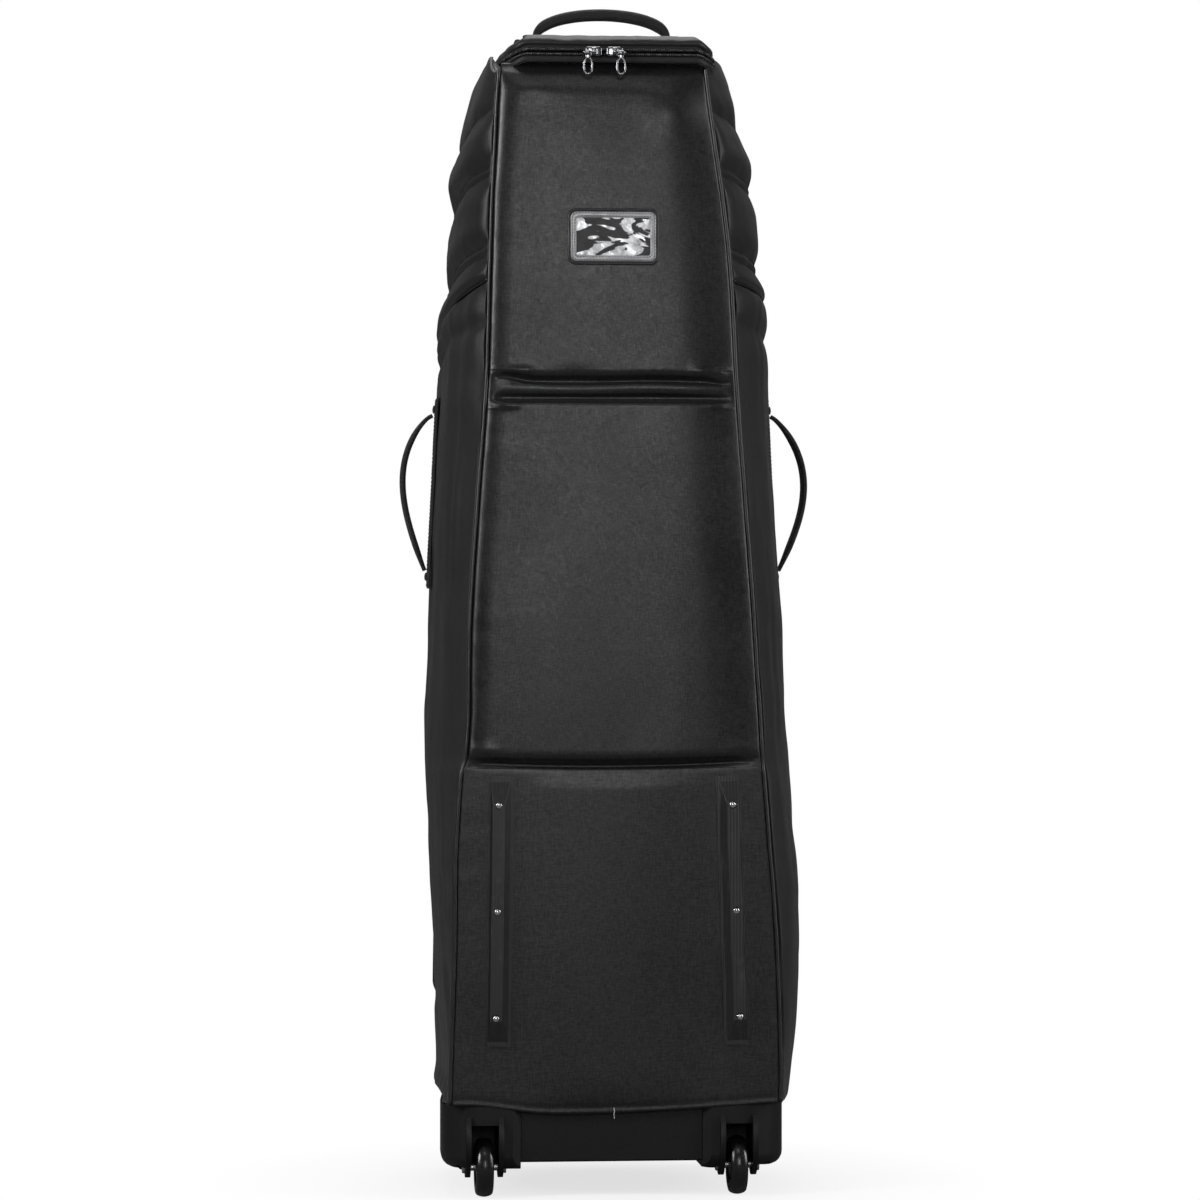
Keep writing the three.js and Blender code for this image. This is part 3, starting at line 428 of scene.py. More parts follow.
def stitches(name, path, mat, body, gauge, up=(0, -1, 0)):
    """Row of raised stitches; up is where they stand proud, one vector or one per point."""
    pitch, length, width, height = gauge
    path = resample(path, pitch)
    count = len(path)
    along = unit(np.gradient(path, axis=0))
    up = np.array(up, float)
    if up.ndim > 1:
        new, old = np.linspace(0, 1, count), np.linspace(0, 1, len(up))
        up = np.stack([np.interp(new, old, up[:, k]) for k in range(3)], 1)
    up = unit(up - along * (up * along).sum(1)[:, None])
    across = np.cross(along, up)
    shape = STITCH_SHAPE * [length, width / 2, height]
    verts = (path[:, None] + along[:, None] * shape[:, :1] + across[:, None] * shape[:, 1:2]
             + up[:, None] * shape[:, 2:]).reshape(-1, 3)
    offset = (np.arange(count) * len(shape))[:, None, None]
    polys = [(STITCH_TRIS[None] + offset).reshape(-1, 3),
             (STITCH_QUADS[None] + offset).reshape(-1, 4)]
    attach(build(name, verts, outward(verts, polys), [mat]), body)


def turned(name, profile, axis, centre, count, mat):
    """Body of revolution from (radius, along) pairs about x (axis 0) or y (axis 1)."""
    profile = np.array(profile, float)
    angle = np.arange(count) / count * 2 * math.pi
    cols = len(profile)
    verts = np.zeros((count, cols, 3))
    verts[:, :, axis] = profile[None, :, 1]
    verts[:, :, 1 - axis] = profile[None, :, 0] * np.cos(angle)[:, None]
    verts[:, :, 2] = profile[None, :, 0] * np.sin(angle)[:, None]
    verts = verts.reshape(-1, 3) + np.array(centre, float)
    i = np.arange(count * cols).reshape(count, cols)
    j = np.roll(i, -1, 0)
    quads, tris = [], []
    for c in range(cols - 1):
        if profile[c][0] < 1e-6:
            tris.append(np.stack([i[:, c], i[:, c + 1], j[:, c + 1]], 1))
        elif profile[c + 1][0] < 1e-6:
            tris.append(np.stack([i[:, c], i[:, c + 1], j[:, c]], 1))
        else:
            quads.append(np.stack([i[:, c], i[:, c + 1], j[:, c + 1], j[:, c]], 1))
    polys = [np.concatenate(faces) for faces in (quads, tris) if faces]
    obj = build(name, verts, outward(verts, polys), [mat])
    edit = bmesh.new()
    edit.from_mesh(obj.data)
    bmesh.ops.remove_doubles(edit, verts=edit.verts, dist=1e-6)
    bmesh.ops.recalc_face_normals(edit, faces=edit.faces)
    edit.to_mesh(obj.data)
    edit.free()
    return obj


def blob(centre, size, across_power, round_power, cols=40, rows=22):
    """Rounded block (superellipsoid) with its poles along y."""
    def power(value, exponent):
        return np.sign(value) * np.abs(value) ** exponent
    angle, tilt = np.meshgrid(np.arange(cols) / cols * 2 * np.pi,
                              np.linspace(-np.pi / 2, np.pi / 2, rows + 2)[1:-1])
    ring = power(np.cos(tilt), across_power)
    x, y, z = centre
    verts = points(x + size[0] * ring * power(np.cos(angle), round_power),
                   y + size[1] * power(np.sin(tilt), across_power),
                   z + size[2] * ring * power(np.sin(angle), round_power)).reshape(-1, 3)
    verts = np.concatenate([verts, [[x, y - size[1], z], [x, y + size[1], z]]])
    return verts, outward(verts, tube_faces(rows, cols)), np.zeros((len(verts), 2))


def add_bevel(obj, width, angle, segments):
    bevel = obj.modifiers.new("bevel", "BEVEL")
    bevel.width = width
    bevel.segments = segments
    bevel.limit_method = "ANGLE"
    bevel.angle_limit = math.radians(angle)
    bevel.use_clamp_overlap = True


def soften(obj, mat, bevel, angle=30, segments=3):
    """Gives a piece of CAD its material and rounded edges (bevel in metres)."""
    mesh = obj.data
    mesh.materials.clear()
    mesh.materials.append(mat)
    if "custom_normal" in mesh.attributes:
        mesh.attributes.remove(mesh.attributes["custom_normal"])
    mesh.shade_smooth()
    obj.modifiers.new("weld", "WELD").merge_threshold = 1e-5
    add_bevel(obj, bevel, angle, segments)
    obj.modifiers.new("normals", "WEIGHTED_NORMAL").weight = 80


def reshaped(node, name, move, mat, slot, bevel, angle=28):
    """New piece from a CAD node's shape, its corners moved by move (in mm)."""
    source = NODES[node]
    mesh = source.data.copy()
    mesh.name = name
    obj = bpy.data.objects.new(name, mesh)
    SCENE.collection.objects.link(obj)
    matrix = np.array(source.matrix_world)
    coords = np.empty(len(mesh.vertices) * 3, np.float32)
    mesh.vertices.foreach_get("co", coords)
    coords = coords.reshape(-1, 3) @ matrix[:3, :3].T + matrix[:3, 3]
    coords = (move(coords * 1000.0) / 1000.0).astype(np.float32)
    mesh.vertices.foreach_set("co", coords.ravel())
    mesh.update()
    soften(obj, mat, bevel, angle)
    place(obj, "shell", slot, node)


# ---------------------------------------------------------------- materials
def put(tree, socket, value):
    """Links a socket to another, or gives it a value."""
    if isinstance(value, bpy.types.NodeSocket):
        tree.links.new(value, socket)
    else:
        socket.default_value = value


def add_node(tree, kind, inputs=None, **props):
    node = tree.nodes.new(kind)
    for key, value in props.items():
        setattr(node, key, value)
    for key, value in (inputs or {}).items():
        put(tree, node.inputs[key], value)
    return node


def rgb(value, tint=(1, 1, 1.03)):
    """Dark neutral colour with a slight tint."""
    return (value * tint[0], value * tint[1], value * tint[2], 1)


class Shader:
    """A Principled material; bumps are chained in the order they are added."""

    def __init__(self, name):
        self.material = bpy.data.materials.new(name)
        self.material.use_nodes = True
        self.tree = self.material.node_tree
        self.tree.nodes.clear()
        output = self.tree.nodes.new("ShaderNodeOutputMaterial")
        self.principled = self.tree.nodes.new("ShaderNodeBsdfPrincipled")
        self.tree.links.new(self.principled.outputs[0], output.inputs[0])
        coords = self.tree.nodes.new("ShaderNodeTexCoord")
        self.position, self.uv = coords.outputs["Object"], coords.outputs["UV"]
        self.normal = None

    def node(self, kind, inputs, **props):
        return add_node(self.tree, kind, inputs, **props)

    def math(self, operation, *values):
        inputs = dict(enumerate(values))
        return self.node("ShaderNodeMath", inputs, operation=operation).outputs[0]

    def add(self, a, b):
        return self.math("ADD", a, b)

    def mul(self, a, b):
        return self.math("MULTIPLY", a, b)

    def weigh(self, a, share_a, b, share_b):
        return self.add(self.mul(a, share_a), self.mul(b, share_b))

    def wave(self, value, pitch):
        return self.math("SINE", self.mul(value, TURN / pitch))

    def axes(self, vector):
        return self.node("ShaderNodeSeparateXYZ", {0: vector}).outputs

    def noise(self, scale, detail, rough=0.5, stretch=None):
        vector = self.position
        if stretch:
            vector = self.node("ShaderNodeMapping",
                               {"Vector": vector, "Scale": stretch}).outputs[0]
        return self.node("ShaderNodeTexNoise", {
            "Vector": vector, "Scale": scale, "Detail": detail,
            "Roughness": rough}).outputs["Fac"]

    def remap(self, value, low=0, high=1, start=0.3, stop=0.7):
        """Takes start..stop to low..high."""
        return self.node("ShaderNodeMapRange", {
            "Value": value, "From Min": start, "From Max": stop,
            "To Min": low, "To Max": high}).outputs[0]

    def mix(self, factor, a, b):
        return self.node("ShaderNodeMix", {0: factor, 6: a, 7: b}, data_type="RGBA").outputs[2]

    def bump(self, height, distance, strength=1.0):
        inputs = {"Height": height, "Distance": distance, "Strength": strength}
        if self.normal is not None:
            inputs["Normal"] = self.normal
        self.normal = self.node("ShaderNodeBump", inputs).outputs[0]
        put(self.tree, self.principled.inputs["Normal"], self.normal)

    def set(self, **inputs):
        for key, value in inputs.items():
            put(self.tree, self.principled.inputs[key.replace("_", " ")], value)


def fabric(name, value, rough, pitch, depth, grain, grain_scale=430, mottle=0.22, sheen=0.08,
           plane=None, spec=0.35, tint=(1, 1, 1.03), streak=None, linen=0.0):
    """Woven cloth. The weave (pitch, depth) follows the UVs, or two axes given by plane.

    grain is the fine bump, mottle the spread of tone, streak a stretched noise scale and
    linen the unevenness of shine from thread to thread.
    """
    sh = Shader(name)
    big = sh.noise(scale=7, detail=3)
    middle = sh.noise(scale=160, detail=3, rough=0.6)
    fine = sh.noise(scale=grain_scale, detail=4, rough=0.62)
    tone = sh.add(sh.mul(big, 0.35), sh.weigh(middle, 0.30, fine, 0.35))
    if streak:
        tone = sh.weigh(tone, 0.7, sh.noise(scale=1, detail=2, stretch=streak), 0.3)
    axes = sh.axes(sh.position if plane else sh.uv)
    first, second = plane or (0, 1)
    weave = sh.mul(sh.wave(axes[first], pitch), sh.wave(axes[second], pitch))
    roughness = sh.remap(tone, rough - 0.07, rough + 0.07, start=0.38, stop=0.62)
    shine = spec
    if linen:
        # uneven threads: short streaks in both directions
        threads = [sh.noise(scale=1, detail=3, rough=0.65, stretch=stretch)
                   for stretch in ((150, 150, 900), (900, 150, 150))]
        thread = sh.weigh(threads[0], 0.5, threads[1], 0.5)
        tone = sh.weigh(tone, 0.45, thread, 0.55)
        shine = sh.remap(thread, spec * (1 - linen), spec * (1 + linen), start=0.40, stop=0.60)
        sh.bump(thread, distance=0.00008, strength=0.6)
    colour = sh.mix(sh.remap(tone, start=0.38, stop=0.62),
                    rgb(value * (1 - mottle), tint), rgb(value * (1 + mottle), tint))
    sh.set(Base_Color=colour, Roughness=roughness, Specular_IOR_Level=shine,
           Sheen_Weight=sheen, Sheen_Roughness=0.45)
    sh.bump(big, distance=0.0012, strength=0.5)
    sh.bump(fine, distance=grain)
    sh.bump(weave, distance=depth, strength=0.9)
    return sh.material


def webbing(name, value, rough, pitch, across):
    """Ribbed strap: ribs at the pitch along it, rows at the across spacing."""
    sh = Shader(name)
    axes = sh.axes(sh.uv)
    along = sh.mul(axes[1], TURN / pitch)
    over = sh.mul(axes[0], TURN / across)
    rib = sh.math("SINE", sh.add(along, sh.mul(sh.math("SINE", over), 1.3)))
    row = sh.math("COSINE", over)
    fuzz = sh.noise(scale=300, detail=3)
    colour = sh.mix(sh.remap(sh.add(sh.mul(rib, 0.18), fuzz), stop=0.75),
                    rgb(value * 0.7), rgb(value * 1.5))
    sh.set(Base_Color=colour, Roughness=sh.remap(fuzz, rough - 0.08, rough + 0.1),
           Specular_IOR_Level=0.35, Sheen_Weight=0.12)
    sh.bump(sh.noise(scale=60, detail=2), distance=0.0006, strength=0.4)
    sh.bump(rib, distance=0.00022, strength=0.9)
    sh.bump(row, distance=0.00016, strength=0.7)
    return sh.material


def plastic(name, value, rough, grain=0.00006, scale=1100, scuff=0.25, spec=0.32, ridges=None):
    """Grained plastic with vertical scuffs; ridges is (axis, pitch, depth)."""
    tint = (1, 1, 1.02)
    sh = Shader(name)
    fine = sh.noise(scale=scale, detail=3, rough=0.65)
    big = sh.noise(scale=14, detail=3)
    scratch = sh.noise(scale=1, detail=4, rough=0.7, stretch=(220, 220, 18))
    wear = sh.noise(scale=75, detail=4, rough=0.7)
    marks = sh.remap(sh.mul(scratch, wear), start=0.30, stop=0.42)
    colour = sh.mix(sh.remap(big), rgb(value * 0.85, tint), rgb(value * 1.15, tint))
    colour = sh.mix(sh.mul(marks, scuff), colour, rgb(value * 2.6 + 0.01, tint))
    sh.set(Base_Color=colour, Specular_IOR_Level=spec,
           Roughness=sh.add(sh.remap(fine, rough - 0.06, rough + 0.08), sh.mul(marks, 0.12)))
    sh.bump(big, distance=0.0010, strength=0.35)
    sh.bump(fine, distance=grain)
    if ridges:
        axis, pitch, depth = ridges
        sh.bump(sh.wave(sh.axes(sh.position)[axis], pitch), distance=depth, strength=0.8)
    return sh.material


def metal(name, value, rough, tint=(1, 1, 1.02), brush=0.35):
    """Brushed metal; brush is the spread of roughness along the strokes."""
    sh = Shader(name)
    strokes = sh.noise(scale=1, detail=4, rough=0.6, stretch=(900, 900, 120))
    blotch = sh.noise(scale=130, detail=4, rough=0.6)
    sh.set(Base_Color=sh.mix(sh.remap(blotch), rgb(value * 0.82, tint), rgb(value * 1.1, tint)),
           Metallic=1.0,
           Roughness=sh.add(sh.remap(strokes, rough * (1 - brush), rough * (1 + brush)),
                            sh.mul(sh.remap(blotch, 0, 0.08), 1.0)))
    sh.bump(strokes, distance=0.00002, strength=0.6)
    sh.bump(blotch, distance=0.00006, strength=0.35)
    return sh.material


def coil_material():
    sh = Shader("m_coil")
    turns = sh.wave(sh.axes(sh.uv)[1], pitch=0.0019)
    grain = sh.noise(scale=500, detail=3)
    sh.set(Base_Color=sh.mix(sh.remap(grain), rgb(0.010), rgb(0.022)),
           Roughness=sh.remap(grain, 0.24, 0.36), Specular_IOR_Level=0.6)
    sh.bump(turns, distance=0.00030)
    sh.bump(grain, distance=0.00004, strength=0.6)
    return sh.material


def vinyl_material():
    sh = Shader("m_vinyl")
    cloud = sh.noise(scale=38, detail=4, rough=0.6)
    fine = sh.noise(scale=900, detail=3, rough=0.6)
    sh.set(Base_Color=sh.mix(sh.remap(cloud), rgb(0.24), rgb(0.38)),
           Roughness=sh.remap(cloud, 0.26, 0.40), Specular_IOR_Level=0.6,
           Coat_Weight=0.4, Coat_Roughness=0.12)
    sh.bump(cloud, distance=0.0006, strength=0.6)
    sh.bump(fine, distance=0.00008, strength=0.9)
    return sh.material


def film_material():
    """Clear crinkled sheet: white glare on its folds, clear between them."""
    sh = Shader("m_film")
    cloud = sh.noise(scale=30, detail=4, rough=0.6)
    tilted = sh.node("ShaderNodeMapping", {
        "Vector": sh.position, "Rotation": (0, -0.7, 0), "Scale": (1.0, 1.0, 2.3)}).outputs[0]
    crinkle = sh.node("ShaderNodeTexNoise", {
        "Vector": tilted, "Scale": 31.0, "Detail": 2.2, "Roughness": 0.45,
        "Distortion": 0.9}).outputs["Fac"]
    glare = sh.remap(crinkle, start=0.500, stop=0.525)
    patch = sh.remap(sh.noise(scale=120, detail=3, rough=0.6), 0.35, 1.0, stop=0.6)
    sh.set(Base_Color=sh.mix(patch, rgb(0.55), rgb(0.95)), Roughness=0.10,
           Specular_IOR_Level=sh.remap(glare, 0.1, 0.6, start=0.0, stop=1.0),
           Alpha=sh.add(sh.mul(sh.mul(glare, patch), 0.9), 0.03))
    sh.bump(cloud, distance=0.0003, strength=0.4)
    return sh.material


COVER = fabric("m_cover", value=0.0075, rough=0.35, pitch=0.0012, depth=0.00002, grain=0.00004,
               grain_scale=380, mottle=0.34, sheen=0.02, spec=0.47, linen=0.24,
               tint=(1, 1, 1.06))
SIDE_CLOTH = fabric("m_side", value=0.0105, rough=0.47, pitch=0.0010, depth=0.00005,
                    grain=0.00008, grain_scale=620, mottle=0.16, sheen=0.10, spec=0.32,
                    streak=(6, 6, 1.3))
QUILT = fabric("m_quilt", value=0.0095, rough=0.40, pitch=0.0010, depth=0.00004, grain=0.00008,
               grain_scale=600, mottle=0.15, sheen=0.10, spec=0.34)
LINING = fabric("m_lining", value=0.055, rough=0.78, pitch=0.0016, depth=0.00014,
                grain=0.00010, grain_scale=520, mottle=0.18, sheen=0.2, spec=0.2)
PAD = fabric("m_pad", value=0.045, rough=0.85, pitch=0.0024, depth=0.00020, grain=0.00025,
             grain_scale=260, mottle=0.25, sheen=0.25, spec=0.15, plane=(0, 1))
PIPING = fabric("m_piping", value=0.008, rough=0.33, pitch=0.0016, depth=0.00005,
                grain=0.00006, grain_scale=700, mottle=0.2, sheen=0.0, spec=0.55)
WEB = webbing("m_web", value=0.0055, rough=0.62, pitch=0.0017, across=0.0042)
SOFT_WEB = webbing("m_web_soft", value=0.007, rough=0.7, pitch=0.0014, across=0.0031)
THREAD, LIGHT_THREAD, DARK_THREAD = (
    fabric(name, value=value, rough=rough, pitch=0.0006, depth=0.00003, grain=0.00003,
           grain_scale=1500, mottle=0.3, plane=(0, 2))
    for name, value, rough in (("m_thread", 0.030, 0.55), ("m_thread_light", 0.42, 0.5),
                               ("m_thread_dark", 0.010, 0.5)))
HOUSING = plastic("m_plastic", value=0.0055, rough=0.44, grain=0.00009, scale=900, scuff=0.18,
                  spec=0.28)
BASE = plastic("m_panel", value=0.0048, rough=0.52, grain=0.00022, scale=520, scuff=0.12,
               spec=0.27)
RAIL = plastic("m_rail", value=0.0105, rough=0.35, grain=0.00003, scale=1400, scuff=0.5,
               spec=0.60, ridges=(0, 0.0034, 0.00007))
HUB = plastic("m_hub", value=0.012, rough=0.42, scuff=0.2)
BUCKLE = plastic("m_buckle", value=0.014, rough=0.34, grain=0.00003, scale=1500, scuff=0.15,
                 spec=0.55)
BOARD = plastic("m_board", value=0.045, rough=0.6, grain=0.00012, scale=700, scuff=0.4)
TYRE = plastic("m_tyre", value=0.006, rough=0.24, grain=0.00003, scale=1600, scuff=0.35,
               spec=0.6)
FOOT = plastic("m_foot", value=0.012, rough=0.6, grain=0.00010, scale=800, scuff=0.5)
STEEL = metal("m_steel", value=0.36, rough=0.30)
RIVET = metal("m_rivet", value=0.62, rough=0.22)
ZIP_METAL = metal("m_zipmetal", value=0.27, rough=0.16, tint=(1, 1, 1.04), brush=0.3)
COIL = coil_material()
VINYL = vinyl_material()
FILM = film_material()
CARD = fabric("m_card", value=0.003, rough=0.62, pitch=0.002, depth=0.00002, grain=0.00003,
              mottle=0.3, plane=(0, 2), spec=0.10)

# ---------------------------------------------------------------- padded back
COVER_FOOT, COVER_TOP = 100.8, 1229.6
FOOT_BAND_TOP = 126            # below this the rows bend to follow the lower hem
# (height, share of full padding) across the two pressed lines
upper_padding = curve([
    (800, 1), (856, 1), (859.5, .95), (861.6, .70), (863.4, .25), (865.0, .02), (866.6, .0),
    (868.6, .16), (870.6, .40), (873.4, .52), (876.4, .56), (879.0, .53), (880.8, .40),
    (882.2, .16), (883.4, .04), (885.0, .06), (887.4, .36), (890.2, .76), (893.4, .95),
    (897, 1), (960, 1)])
# (height above the lower crease, share of full padding)
lower_padding = curve([
    (-40, 0), (-13, 0), (-8, -.05), (-5.6, -.16), (-4.0, -.36), (-2.6, -.40), (-.6, -.18),
    (2.4, .34), (6.0, .80), (10, .97), (15, 1), (60, 1)])


def hem_z(x):
    """Lower edge of the back cover."""
    return 90.6 + 9.9 * smooth((-x - 62) / 100) + 9.9 * np.clip((x + 30) / 200, 0, 1) ** 1.5


def cover_half(z, x):
    return half_width(z) - 2.3 + np.where(x < 0, stand_out(z, -1), stand_out(z, 1))


def padding_height(x, z):
    """How far the padded back stands out from the plane of the back."""
    half = cover_half(z, x)
    inside = half - np.abs(x)
    rise = np.where(x > 0, 0.14 * edge(inside, 10) + 0.86 * puff(inside, 60),
                    0.5 * edge(inside, 10) + 0.5 * puff(inside, 24))
    fade = smooth((inside - 2) / 15)
    bow = 1 - ((x + 6) / (half + 6)) ** 2
    left = smooth((-x - 84) / 36)
    # the upper pressed lines wander up and down across the width
    warp = (1.2 * bell(x + 42, 24) * smooth((z - 880) / 8) + 4.6 * left * smooth((z - 879) / 8)
            - 3.4 * smooth((x - 98) / 26) * smooth((z - 878) / 8)
            + 0.8 * np.sin(x / 27.0) * smooth((z - 866) / 6))
    crease = 475.0 - 4.8 * np.clip(1 - ((x + 12) / 165) ** 2, 0, 1)
    full = np.where(z > 700, upper_padding(z - warp), 1.0)
    full = np.where(z < 560, lower_padding(z - crease), full)
    ends = np.where(np.abs(z - 876) < 20, 0.62, np.clip(full, 0.0, 1))
    full = full * fade + ends * (1 - fade)
    soft = 1 - 0.12 * bell(x + 42, 26) * bell(z - 892, 9)
    height = full * soft * (5.2 * rise * (1 + 0.34 * smooth(x / 80))
                            + np.where(full > 0, 5.3, 2.8) * bow * edge(inside, 22))
    # raised lips where the pressed lines run out
    height += rise * (
        2.6 * bell(z - 895 + 1.5 * left, 5.5) * smooth((np.abs(x) - 78) / 24)
        + 2.0 * bell(z - 857.6, 4.2) * smooth((np.abs(x) - 92) / 24)
        + 1.2 * bell(z - crease - 13, 6) * smooth((np.abs(x) - 118) / 20))
    # gentle swell below the crease
    height += (np.clip(1 - (x / 104) ** 2, 0, 1) ** 1.5 * edge(z - 100, 40)
               * smooth((crease - 8 - z) / 20) * 2.4)
    # full corners at the top, and the top edge rolling back under the zip
    height += 2.2 * bell(x + 88, 22) * bell(z - 1206, 16) * edge(inside, 20)
    height += 3.4 * bell(x - 66, 26) * bell(z - 1176, 22) * edge(inside, 20)
    height = height * (1 - smooth((z - 1194) / 46)) - 5.0 * smooth((z - 1215) / 14)
    # stitched dent along the hem
    height -= 0.45 * bell(z - hem_z(x) - 6.5, 3.2) * edge(inside, 10)
    # puckers beside the pressed lines, broad unevenness, and tugs from the side edges
    pucker = noise(x / 13.0, z / 60.0, 5) * 0.75 + noise(x / 6.0, z / 30.0, 6) * 0.28
    beside = (bell(z - 899, 12) + bell(z - 852, 12) + bell(z - 490, 14)
              + bell(z - 452, 16) * 0.5 + 0.7 * bell(z - 1205, 14))
    height += pucker * beside * rise * 0.22
    uneven = (layered(x / 95.0, z / 150.0, 21, 2) * 0.62
              + layered(x / 24.0, z / 36.0, 31, 2) * 0.05)
    height += uneven * rise * np.where(z < 465, 0.30, 1.0)
    tug = noise(inside / 60.0, z / 15.0, 44) * np.exp(-inside / 26.0) * 0.55
    return height + tug * rise * np.where(z < 465, 0.5, 1)


def back_cover():
    rows = stations(COVER_FOOT, COVER_TOP, 3.4,
                    ((LOW_CREASE, 20, 0.9), (876, 26, 0.8), (1220, 18, 1.5), (100, 10, 1.2)))
    row_z, share = grid(rows, bunched(201, 1.35))
    x = share * cover_half(row_z, share)
    hem = hem_z(x)
    band = FOOT_BAND_TOP - COVER_FOOT
    z = np.where(row_z < FOOT_BAND_TOP,
                 hem + (row_z - COVER_FOOT) / band * (FOOT_BAND_TOP - hem), row_z)
    rim = np.minimum(cover_half(row_z, x) - np.abs(x), np.minimum(COVER_TOP - z, z - hem))
    y = rear_y(z) - padding_height(x, z) + 1.3 * (1 - edge(rim, 1.6))
    inner_y = rear_y(z) + 5.0 - 1.0 * (z < FOOT_BAND_TOP)
    skin("back_cover_skin", points(x, y, z), points(x, inner_y, z), [COVER, LINING],
         metres(x, z), "shell", "cover_fabric", "back_cover")


def hem_thread():
    """Loose thread end hanging from the hem."""
    path = spline([(1.6, -151.6, 97.5), (1.9, -152.2, 94), (1.5, -151.9, 90),
                   (2.0, -151.2, 85.5)], 0.8)
    strand("hem_thread_end", path, circle(0.55, 8), LIGHT_THREAD, "shell", "webbing",
           ref=(1, 0, 0))


def back_lining():
    """Lining over the boards, seen when the front is open."""
    z, share = grid(stations(103, 1222, 8), np.linspace(-1, 1, 60))
    half = half_width(z) - 9.5
    x = share * half + lean(z)
    y = rear_y(z) + 10.2
    wave = 0.5 * layered(x / 60, z / 90, 51) * edge(half - np.abs(x), 10)
    skin("back_lining", points(x, y + 0.9 + 0.3 * wave, z), points(x, y, z), [LINING],
         metres(x, z), "shell", "lining")


# ---------------------------------------------------------------- sides
# depth runs from 0 at the back edge to 1 at the front edge of a side.
CHANNELS = {1: (1182, 1118, 1109, 1031, 1020), -1: (1182, 1117, 1108, 1032, 1021)}
SIDE_COLUMNS = 0.5 - 0.5 * np.cos(np.pi * np.linspace(0, 1, 84))


def side_x(z, y):
    share = (y - rear_y(z)) / (front_y(z) - rear_y(z))
    belly = half_belly(z) - half_width(z)
    return half_width(z) + belly * (1 - np.abs(2 * share - 1) ** 2.6)


def side_point(z, depth, inset):
    """x and y on the side, moved in along its normal."""
    back, front = rear_y(z) + 4.5, front_y(z) - 16
    y = back + (front - back) * depth
    probe = 0.5
    rise = side_x(z, y + probe) - side_x(z, y - probe)
    length = np.hypot(rise, 2 * probe)
    return side_x(z, y) - inset * 2 * probe / length, y + inset * rise / length


def side_surface(side, z, depth, inset):
    """Points on a side, following how far the back edge stands out."""
    x, y = side_point(z, depth, inset)
    return points(side * (x + stand_out(z, side) * (1 - smooth(depth / 0.42))), y, z)


def pad_top(depth):
    x, _ = side_point(PAD_TOP, depth, 0)
    return PAD_TOP + dip(x) + 21.0 * smooth(depth / 0.16) * smooth((0.98 - depth) / 0.25)


def trim(z, depth, side):
    span = np.clip(1 - np.abs(2 * depth - 0.95), 0, 1) ** 0.6 * 0.95
    if side < 0:
        low = smooth((480 - z) / 110)
        span = span * (1 - low) + np.clip(4 * depth * (1 - depth), 0, 1) ** 0.34 * low
        foot = smooth((214 - z) / 30) * smooth((depth - 0.5) / 0.4)
        span = span * (1 - foot) + foot * (1 - 0.5 * smooth((depth - 0.5) / 0.5))
    return TRIM[side](z) * span


def both_edges(depth, radius):
    """Rise from the back and front edges of a side."""
    return edge(depth * SIDE_DEPTH, radius) * edge((1 - depth) * SIDE_DEPTH, radius)


def side_panel(side, label, seed):
    share, depth = grid(np.linspace(0, 1, 300) ** 0.97, SIDE_COLUMNS)
    top = seam_z(depth, side) - 1.2
    z = BODY_FOOT + (top - BODY_FOOT) * share
    sloped = z + CHANNEL_SLOPE[side] * depth
    ends = both_edges(depth, 16)
    rim = edge(top - z, 13) * edge(z - BODY_FOOT, 12)
    channel = smooth((z - 860) / 60) * (-3.6 * bell(sloped - 948, 9)
                                        + 2.4 * bell(sloped - 975, 16)
                                        + 1.6 * bell(sloped - 915, 24))
    slow = (2.2 * layered(depth * 2.6 + 9 * side, z / 150.0, seed, 2)
            + 0.8 * layered(depth * 6, z / 48.0, seed + 5, 2)
            + 1.5 * noise(depth * 13, z / 330.0, seed + 9)
            + 0.8 * noise(depth * 26, z / 190.0, seed + 10))
    tug = 1.5 * noise(depth * 7, sloped / 34.0, seed + 13) * (
        np.exp(-depth * SIDE_DEPTH / 45) + 0.7 * bell(z - top, 26) + 0.5 * bell(z - 110, 26))
    height = ((channel + slow + tug) * ends * rim - 5.0 * (1 - edge(top - z, 11)) * ends
              - 1.6 * (1 - edge(z - BODY_FOOT, 8)) * ends)
    if side < 0:    # bulge at the foot, near the back
        height = height + 7.5 * smooth((130 - z) / 26) * bell(depth - 0.13, 0.11)
    push = trim(z, depth, side)
    skin("side_panel_%s_skin" % label, side_surface(side, z, depth, -(height + push)),
         side_surface(side, z, depth, 8.6 - np.minimum(push, 0)), [SIDE_CLOTH, LINING],
         metres(depth * SIDE_DEPTH, z), "shell", "side_fabric", "side_panel_" + label)


